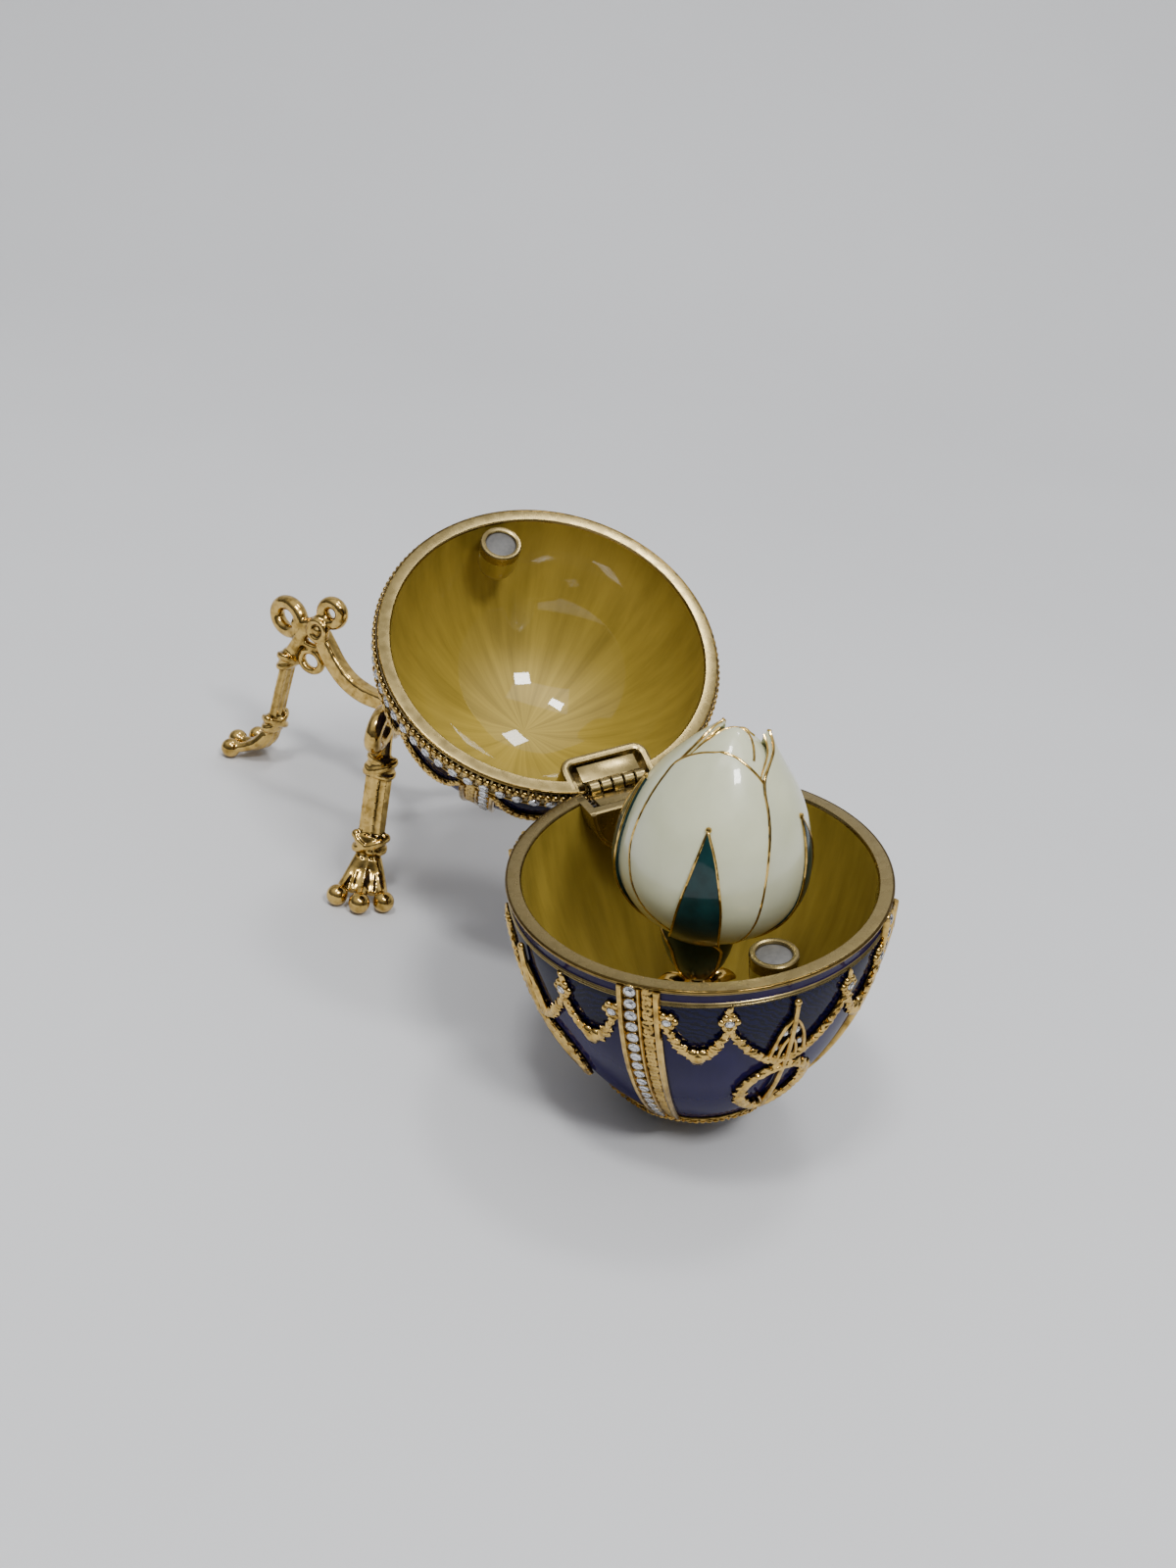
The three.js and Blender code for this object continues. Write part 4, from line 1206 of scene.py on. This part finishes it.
heights = [*np.linspace(NECK_Z, WAIST_Z, 12), *np.linspace(WAIST_Z, TOP_Z - 0.5, 40)[1:]]
core = [(float(bud_radius(z)) - 0.25, z) for z in heights]
core_points, core_faces = turned([(0.0, NECK_Z), *core, (0.0, TOP_Z - 0.25)], 96)
bud = raw_mesh("rosebud_petals", *merged((leaned(core_points), core_faces), *sheets), [cream])
settle(bud, EGG, "cream_enamel", "rosebud")

# %% Gold wires on the petals
FURL = [(158, 22.6), (150, 24.2), (128, 25), (84, 25.6), (10, 25.6), (-43, 25), (-66, 24.2), (-80, 23.2)]
wires = [wire(rim, 3, -3) for rim in rims[1:]]
wires += [wire(rims[0], 60, -3), wire(lips[1], 42, 62), wire(lips[3], 44, 92, 0.8)]
wires.append((*on_bud(*curve_through(FURL, 60).T, -0.12), 0.9))
print(len(wires), "wires on the petals")

# %% Green leaves round the bud, and the cup
SEPAL_ANGLES = (-125.5, -43.5, 54.0, 152.5)
SEPAL_ROWS = [(-9, 34, 0), (-7, 24, 0), (-4, 17.5, 0.1), (-1.6, 14.6, 0.2), (3, 12, 0),
              (5.4, 10.4, -0.4), (9.5, 7, -1.5), (12, 4.2, -2.8), (13.8, 1.5, -4.4), (14.5, 0.3, -5)]
CUP = [(0, -7.3), (5.3, -7.3), (5.9, -7.7), (6.15, -8.5), (6.15, -10.0), (5.9, -12.0), (5.35, -14.2),
       (4.55, -16.3), (3.45, -18.2), (2.35, -19.4), (1.5, -20.0), (0, -20.1)]

green_parts, leaf_wires, leaf_tips = [], [], []
for centre in SEPAL_ANGLES:
    edges = ([(centre + twist + side * half, z) for z, half, twist in SEPAL_ROWS] for side in (-1, 1))
    sheet, rim, _ = petal_sheet(*edges, 1.0, thickness=0.4, rows=40, columns=14, belly_rise=0.15)
    green_parts.append(sheet)
    leaf_wires.append((*rim, 1.0))
    leaf_tips.append(on_bud(centre - 5, 14.8, 1.0))
green_parts.append(turned(CUP, 96))
settle(raw_mesh("bud_leaves", *merged(*green_parts), [green]), EGG, "green_enamel")

r, z = curve_through(CUP[3:-1], 60).T
sweep = 34 * np.clip(1 - np.linspace(0, 1, 60) / 0.3, 0, 1) ** 1.4
for centre in SEPAL_ANGLES:
    a = np.radians(centre + 45 - sweep)
    spots = np.stack([(r + 0.04) * np.cos(a), (r + 0.04) * np.sin(a), z], axis=1)
    ups = np.stack([np.cos(a), np.sin(a), np.full(60, -0.3)], axis=1)
    leaf_wires.append(wire((spots, ups), 2, -3, 1.3))
ring = np.stack([6.0 * np.cos(turns(72)), 6.0 * np.sin(turns(72)), np.full(72, -7.95)], axis=1)
leaf_wires.append((ring, ring * (1, 1, 0), 1.1, True))
bud_gold = [
    cord("petal_wires", wires, 0.24, 0.2, step=0.5, lumps=0.1, lump_size=1.2),
    cord("leaf_wires", leaf_wires, 0.21, 0.19, step=0.5, lumps=0.06, lump_size=1.2),
    set_at("leaf_tips", bead, leaf_tips, size=0.5),
]
settle(fused("bud_wires", bud_gold), EGG, "gold")

# %% Stem and its spray of leaves
FOOT_Z = -BASE_DEPTH + WALL + 1.6
STEM_TOP = -20.3
FOOT = [(4.9, 0), (5.0, 0.4), (4.6, 1.0), (3.2, 1.6), (2.3, 2.6), (1.75, 5), (1.5, 9)]
KNOP = [(1.45, -6), (1.9, -4.4), (2.6, -2.8), (2.7, -1.9), (2.2, -0.8), (1.4, 0)]
SPRAY_LEAF = [(1.2, -2.6, 0.6), (3.0, -1.2, 1.7), (5.0, -1.0, 1.55), (6.4, -1.7, 0.8), (7.2, -2.4, 0.05)]

stem = [(r, FOOT_Z + z) for r, z in FOOT] + [(r, STEM_TOP + z) for r, z in KNOP]
parts = [turned([(0, FOOT_Z), *curve_through(stem, 60), (0, STEM_TOP)], 48)]
r, z, half = (row[:, None] for row in curve_through(SPRAY_LEAF, 22).T)
c = np.linspace(-1, 1, 9)
z = STEM_TOP + z + half * (0.45 * (1 - np.abs(c)) + 0.12 * np.cos(c * 9))
for a in turns(5):
    x, y = r * math.cos(a) - half * c * math.sin(a), r * math.sin(a) + half * c * math.cos(a)
    top = np.stack([x, y, z], axis=-1)
    parts.append(sheet_of(top, top - (0, 0, 0.45))[0])
settle(raw_mesh("stem_and_leaves", *merged(*parts), [gold]), EGG, "gold", "rosebud_stem")

# %% [markdown]
# ## Tripod stand
#
# Each leg is one soft-edged casting: a squared arm, a bow of loops with a scroll, a flat
# reeded shin tied at both ends, and a claw foot with three balls. The parts are swept one
# by one, run together into a single skin with a voxel remesh and smoothed a little, which
# gives the melted joints of cast metal that separate tubes can't.

# %% Leg shapes
VOXEL = 0.2
ACROSS = (0.0, 1.0, 0.0)
LEG_ANGLES = (122.5, 242.5, 2.5)
TOE_SPREAD = 4.35
TOE_RADIUS = 2.02


def bar(rows, section, count=30):
    """A bar through rows of (x, z, wide, thick) in the leg's own upright plane."""
    rows = [(*row, 1.0, 1.0)[:4] for row in rows]
    x, z, wide, thick = curve_through(rows, count).T
    return swept(np.stack([x, 0 * x, z], axis=1), ACROSS, section, wide, thick)


def loop(x, z, half_x, half_z, tilt, tube, across, drift=0.0, y=0.0):
    """A loop of the bow. Drift carries its far side out of the leg's plane."""
    t = turns(48)
    u, v = half_x * np.cos(t), half_z * np.sin(t)
    x, z = (x + u * math.cos(tilt) - v * math.sin(tilt), z + u * math.sin(tilt) + v * math.cos(tilt))
    spots = np.stack([x, y + drift * (0.5 + 0.5 * np.cos(t)), z], axis=1)
    return swept(spots, ACROSS, oval(tube, across, 14), ring=True)


def binding(x, z, radius_in, radius_across, slope, tube, turn=0.0):
    """A ribbon tied slantwise round the shin, as a tilted ring."""
    t = turns(48)
    around = np.stack([np.cos(t), np.sin(t), 0 * t], axis=1)
    spots = (x, 0, z) + around * (radius_in, radius_across, 0)
    spots[:, 2] += slope * np.sin(t + turn)
    return swept(spots, around, oval(tube * 1.5, tube, 12), ring=True)


def ball(radius, x, y, z, squash=1.0):
    points, faces = turned(rounded(radius, squash, 17), 24)
    return points + (x, y, z), faces


def fluted(half_in, half_across, flutes, depth, sides=160):
    """An oval outline with hollow flutes of equal width between narrow ridges."""
    points = oval(half_in, half_across, 720)
    step = np.linalg.norm(np.roll(points, -1, axis=0) - points, axis=1)
    along = np.concatenate([[0], np.cumsum(step)[:-1]]) / step.sum()
    place = np.linspace(0, 1, sides, endpoint=False)
    a = np.interp(place, along, turns(720))
    ring = np.stack([np.cos(a), np.sin(a)], axis=1)
    hollow = depth * np.abs(np.sin(math.pi * flutes * place)) ** 0.7
    return ring * (half_in, half_across) - unit(ring * (half_across, half_in)) * hollow[:, None]


# %% Claw foot
def claw():
    """Three ribbed toes that spread from a broad web, each ending in a ball."""
    parts = []
    for side in (-1, 0, 1):
        tip_x = 37.5 if side else 39.3
        rows = [(31.0, 1.2 * side, 6.8), (32.6, 2.4 * side, 4.4), (34.8, 3.4 * side, 3.0),
                (tip_x, TOE_SPREAD * side, 2.0)]
        t = np.linspace(0, 1, 26)
        toe = oval(1.35, 1.25, 14)
        parts.append(swept(curve_through(rows, 26), (0.4, 0, 1.0), toe, 1.15 - 0.4 * t, 1.0 - 0.25 * t))
        parts.append(ball(TOE_RADIUS, tip_x, TOE_SPREAD * side, 2.07))
    for side in (-0.5, 0.5):
        rows = [(31.0, side * 1.2, 6.8), (32.6, side * 2.6, 4.2), (35.6, side * 4.3, 2.4)]
        parts.append(swept(curve_through(rows, 20), (0.4, 0, 1.0), oval(0.85, 0.6, 10)))
    return parts


# %% One leg
def leg_parts():
    arm = [(2.6, 24.3, 0.9, 0.9), (8, 24.3), (12.5, 25.5), (16, 27.9), (18.7, 30.8), (20.4, 33.2, 0.85, 0.9)]
    strand = [(23.6, 33.8), (24.9, 31.4), (26.1, 29.0), (27.1, 26.8, 1.05, 1.15), (27.8, 24.8, 1.0, 1.3)]
    tie = [(27.2, 33.2, 0.9, 1.0), (24.0, 33.9), (21.8, 35.2), (20.4, 36.8, 0.85, 0.9)]
    scroll = [(26.2, 29.9), (22.0, 29.6), (17.6, 30.4)]
    shin = [(27.85, 24.4), (28.9, 17.5), (29.9, 10.2)]
    foot = [(30.0, 9.6, 1.0, 0.98), (30.6, 7.0, 1.1, 1.06), (31.7, 5.0, 1.2, 1.28),
            (33.4, 3.6, 1.1, 1.5), (35.0, 2.8, 0.9, 1.62), (36.0, 2.3, 0.6, 1.6)]
    collar = [(27.3, 27.0, 0.8, 0.85), (27.6, 25.8), (27.8, 24.6, 1.05, 1.05), (28.0, 23.4, 0.85, 0.98)]
    ankle = [(29.75, 11.6, 0.85, 0.95), (29.9, 10.6, 1.0, 1.05), (30.05, 9.2, 1.0, 1.05),
             (30.2, 8.1, 0.9, 0.98)]
    return [
        bar(arm, oval(1.85, 1.75, power=0.5), 40),
        bar(strand, oval(1.3, 1.55, power=0.8)),
        bar(tie, oval(1.35, 1.5, power=0.8)),
        bar(scroll, oval(0.75, 0.95, 14), 16),
        loop(29.5, 33.4, 3.75, 2.95, -0.15, 1.5, 1.6, drift=-1.6),
        loop(18.4, 38.2, 2.5, 2.15, -0.5, 1.3, 1.45, drift=-0.3),
        loop(22.2, 26.5, 2.5, 2.1, 0.0, 0.8, 0.95),
        loop(20.6, 34.0, 1.95, 1.95, 0.0, 0.78, 0.9, y=1.2),
        ball(1.0, 20.6, 1.3, 34.0),
        ball(1.9, 21.8, 0.0, 33.7, 0.9),
        bar(collar, oval(1.75, 2.6, 28), 20),
        bar(shin, fluted(1.2, 2.6, 8, 0.34), 50),
        bar(ankle, oval(1.75, 2.7, 28), 20),
        bar(foot, fluted(1.4, 2.55, 10, 0.26), 44),
        binding(27.75, 25.0, 1.85, 2.75, 1.2, 0.5),
        binding(27.5, 26.3, 1.55, 2.35, -0.6, 0.42),
        binding(27.85, 24.2, 1.8, 2.7, -0.7, 0.4, 0.8),
        binding(29.95, 9.9, 1.95, 2.95, 1.3, 0.5),
        binding(29.95, 10.0, 1.9, 2.9, -1.3, 0.45, 0.5),
        ball(0.95, 29.8, -2.75, 11.2),
        ball(0.95, 29.8, 2.75, 11.2),
        ball(0.8, 31.9, 0.3, 9.0),
    ] + claw()


# %% Painted shade on the leg
def hollows(mesh, place):
    """How hollow the skin is at each point, from the bend along the edges that meet there."""
    normal = read(mesh.vertices, "normal")
    a, b = read(mesh.edges, "vertices", 2, np.int32).T
    across = place[b] - place[a]
    squared_length = (across**2).sum(axis=1)
    bend, meetings = np.zeros(len(place)), np.zeros(len(place))
    for start, sign in ((a, 1), (b, -1)):
        np.add.at(bend, start, sign * (normal[start] * across).sum(axis=1) / squared_length)
        np.add.at(meetings, start, 1)
    bend /= np.maximum(meetings, 1)
    for _ in range(3):
        spread = bend.copy()
        np.add.at(spread, a, bend[b])
        np.add.at(spread, b, bend[a])
        bend = spread / (meetings + 1)
    return (bend - 0.12) / 0.5


# %% Legs and hub
leg = raw_mesh("leg", *merged(*leg_parts()), [gold])
remesh = leg.modifiers.new("one skin", "REMESH")
remesh.mode, remesh.voxel_size, remesh.use_smooth_shade = "VOXEL", VOXEL, True
soften = leg.modifiers.new("soften", "SMOOTH")
soften.factor, soften.iterations = 0.5, 2
leg = evaluated(leg)
# Painted shade darkens the leg where its skin bends inward.
mark_recess(leg, lambda place: hollows(leg.data, place))
for k, angle in enumerate(LEG_ANGLES, 1):
    home = STAND[0] @ Matrix.Rotation(math.radians(angle), 4, "Z"), STAND[1]
    settle(linked(f"leg_{k}", leg.data.copy()), home, "gold", f"stand_leg_{k}", angle=0)

HUB = [(0, 21.6), (1.2, 21.65), (2.4, 21.95), (3.3, 22.6), (3.6, 23.3), (3.6, 25.0), (3.35, 25.6),
       (2.5, 26.1), (1.6, 26.4), (0.9, 26.6), (0, 26.6)]
settle(raw_mesh("hub", *turned(HUB, 64), [gold]), STAND, "gold", "stand_hub")

# %% Clear the patterns away
for obj in (stone, bead, leaf, cup, flower, leg):
    bpy.data.objects.remove(obj)

# %% [markdown]
# ## Camera, floor and light
#
# The camera looks down on the open egg with the stand behind it. A plain sheet curves up
# into a backdrop, a dim room lights everything evenly, and four soft lamps put the bright
# spots on the enamel and the gold.

# %% Camera
CAMERA_PLACE = (-0.1555, -0.2164, 0.1870)
camera = linked("camera", bpy.data.cameras.new("camera"))
bpy.context.scene.camera = camera
camera.data.lens = 44.0
camera.data.clip_end = 10
look = Vector((0.4508, 0.7724, -0.4474)).normalized()
right = look.cross(Vector((0.0700, 0.4690, 0.8804))).normalized()
axes = Matrix((right, right.cross(look), -look)).transposed()
camera.matrix_world = Matrix.Translation(CAMERA_PLACE) @ axes.to_4x4()
print("camera is", round(Vector(CAMERA_PLACE).length, 3), "m from the frame's origin")

# %% Floor
paper, tree, shader = finish_of("paper", Roughness=0.75)
place = add(tree, "ShaderNodeTexCoord", output="Object")
colour = ramp(tree, noise(tree, 6.0, vector=place), (0.3, (0.60, 0.605, 0.62)), (0.7, (0.63, 0.635, 0.65)))
feed(tree, shader.inputs["Base Color"], colour)

away = Vector((look.x, look.y, 0)).normalized()
aside = Vector((away.y, -away.x, 0))
bend = [(0.45 + 0.25 * math.sin(t), 0.25 - 0.25 * math.cos(t)) for t in np.linspace(0, math.pi / 2, 16)]
path = [(-1.2, 0.0), *bend, (0.7, 1.6)]
points = [tuple(away * d + aside * s + Vector((0, 0, z))) for d, z in path for s in (-2.5, 2.5)]
floor = raw_mesh("floor", points, lattice(len(path), 2), [paper])
floor.data.shade_smooth()
print("floor points:", len(points))

# %% Room and lamps
world = bpy.data.worlds.new("room")
bpy.context.scene.world = world
world.use_nodes = True
tree = world.node_tree
direction = add(tree, "ShaderNodeTexCoord", output="Generated")
height = add(tree, "ShaderNodeSeparateXYZ", {0: direction}, 2)
height = sums(tree, "MULTIPLY", sums(tree, "ADD", height, 1.0), 0.5)
sky = ramp(tree, height, (0.0, 0.08), (0.52, 0.10), (0.7, (0.22, 0.22, 0.23)),
           (0.86, (0.80, 0.81, 0.84)), (1.0, 1.0))
feed(tree, tree.nodes["Background"].inputs["Color"], sky)
tree.nodes["Background"].inputs["Strength"].default_value = 0.88


def softbox(name, place, size, power, target=(0, 0.04, 0.03)):
    lamp = linked(name, bpy.data.lights.new(name, "AREA"))
    lamp.data.shape, lamp.data.energy = "RECTANGLE", power
    lamp.data.size, lamp.data.size_y = size
    lamp.location = place
    lamp.rotation_euler = (Vector(target) - Vector(place)).to_track_quat("-Z", "Y").to_euler()


softbox("near", (-0.048, -0.78, 1.05), (0.26, 0.2), 9.0)
softbox("left", (-0.432, -0.24, 1.25), (0.22, 0.16), 6.5)
softbox("far", (0.336, 0.19, 1.31), (0.22, 0.22), 4.0)
softbox("front", (-0.12, -0.2, 0.65), (0.5, 0.25), 0.5, (-0.02, -0.04, 0.0))
print(len(bpy.data.lights), "lamps")
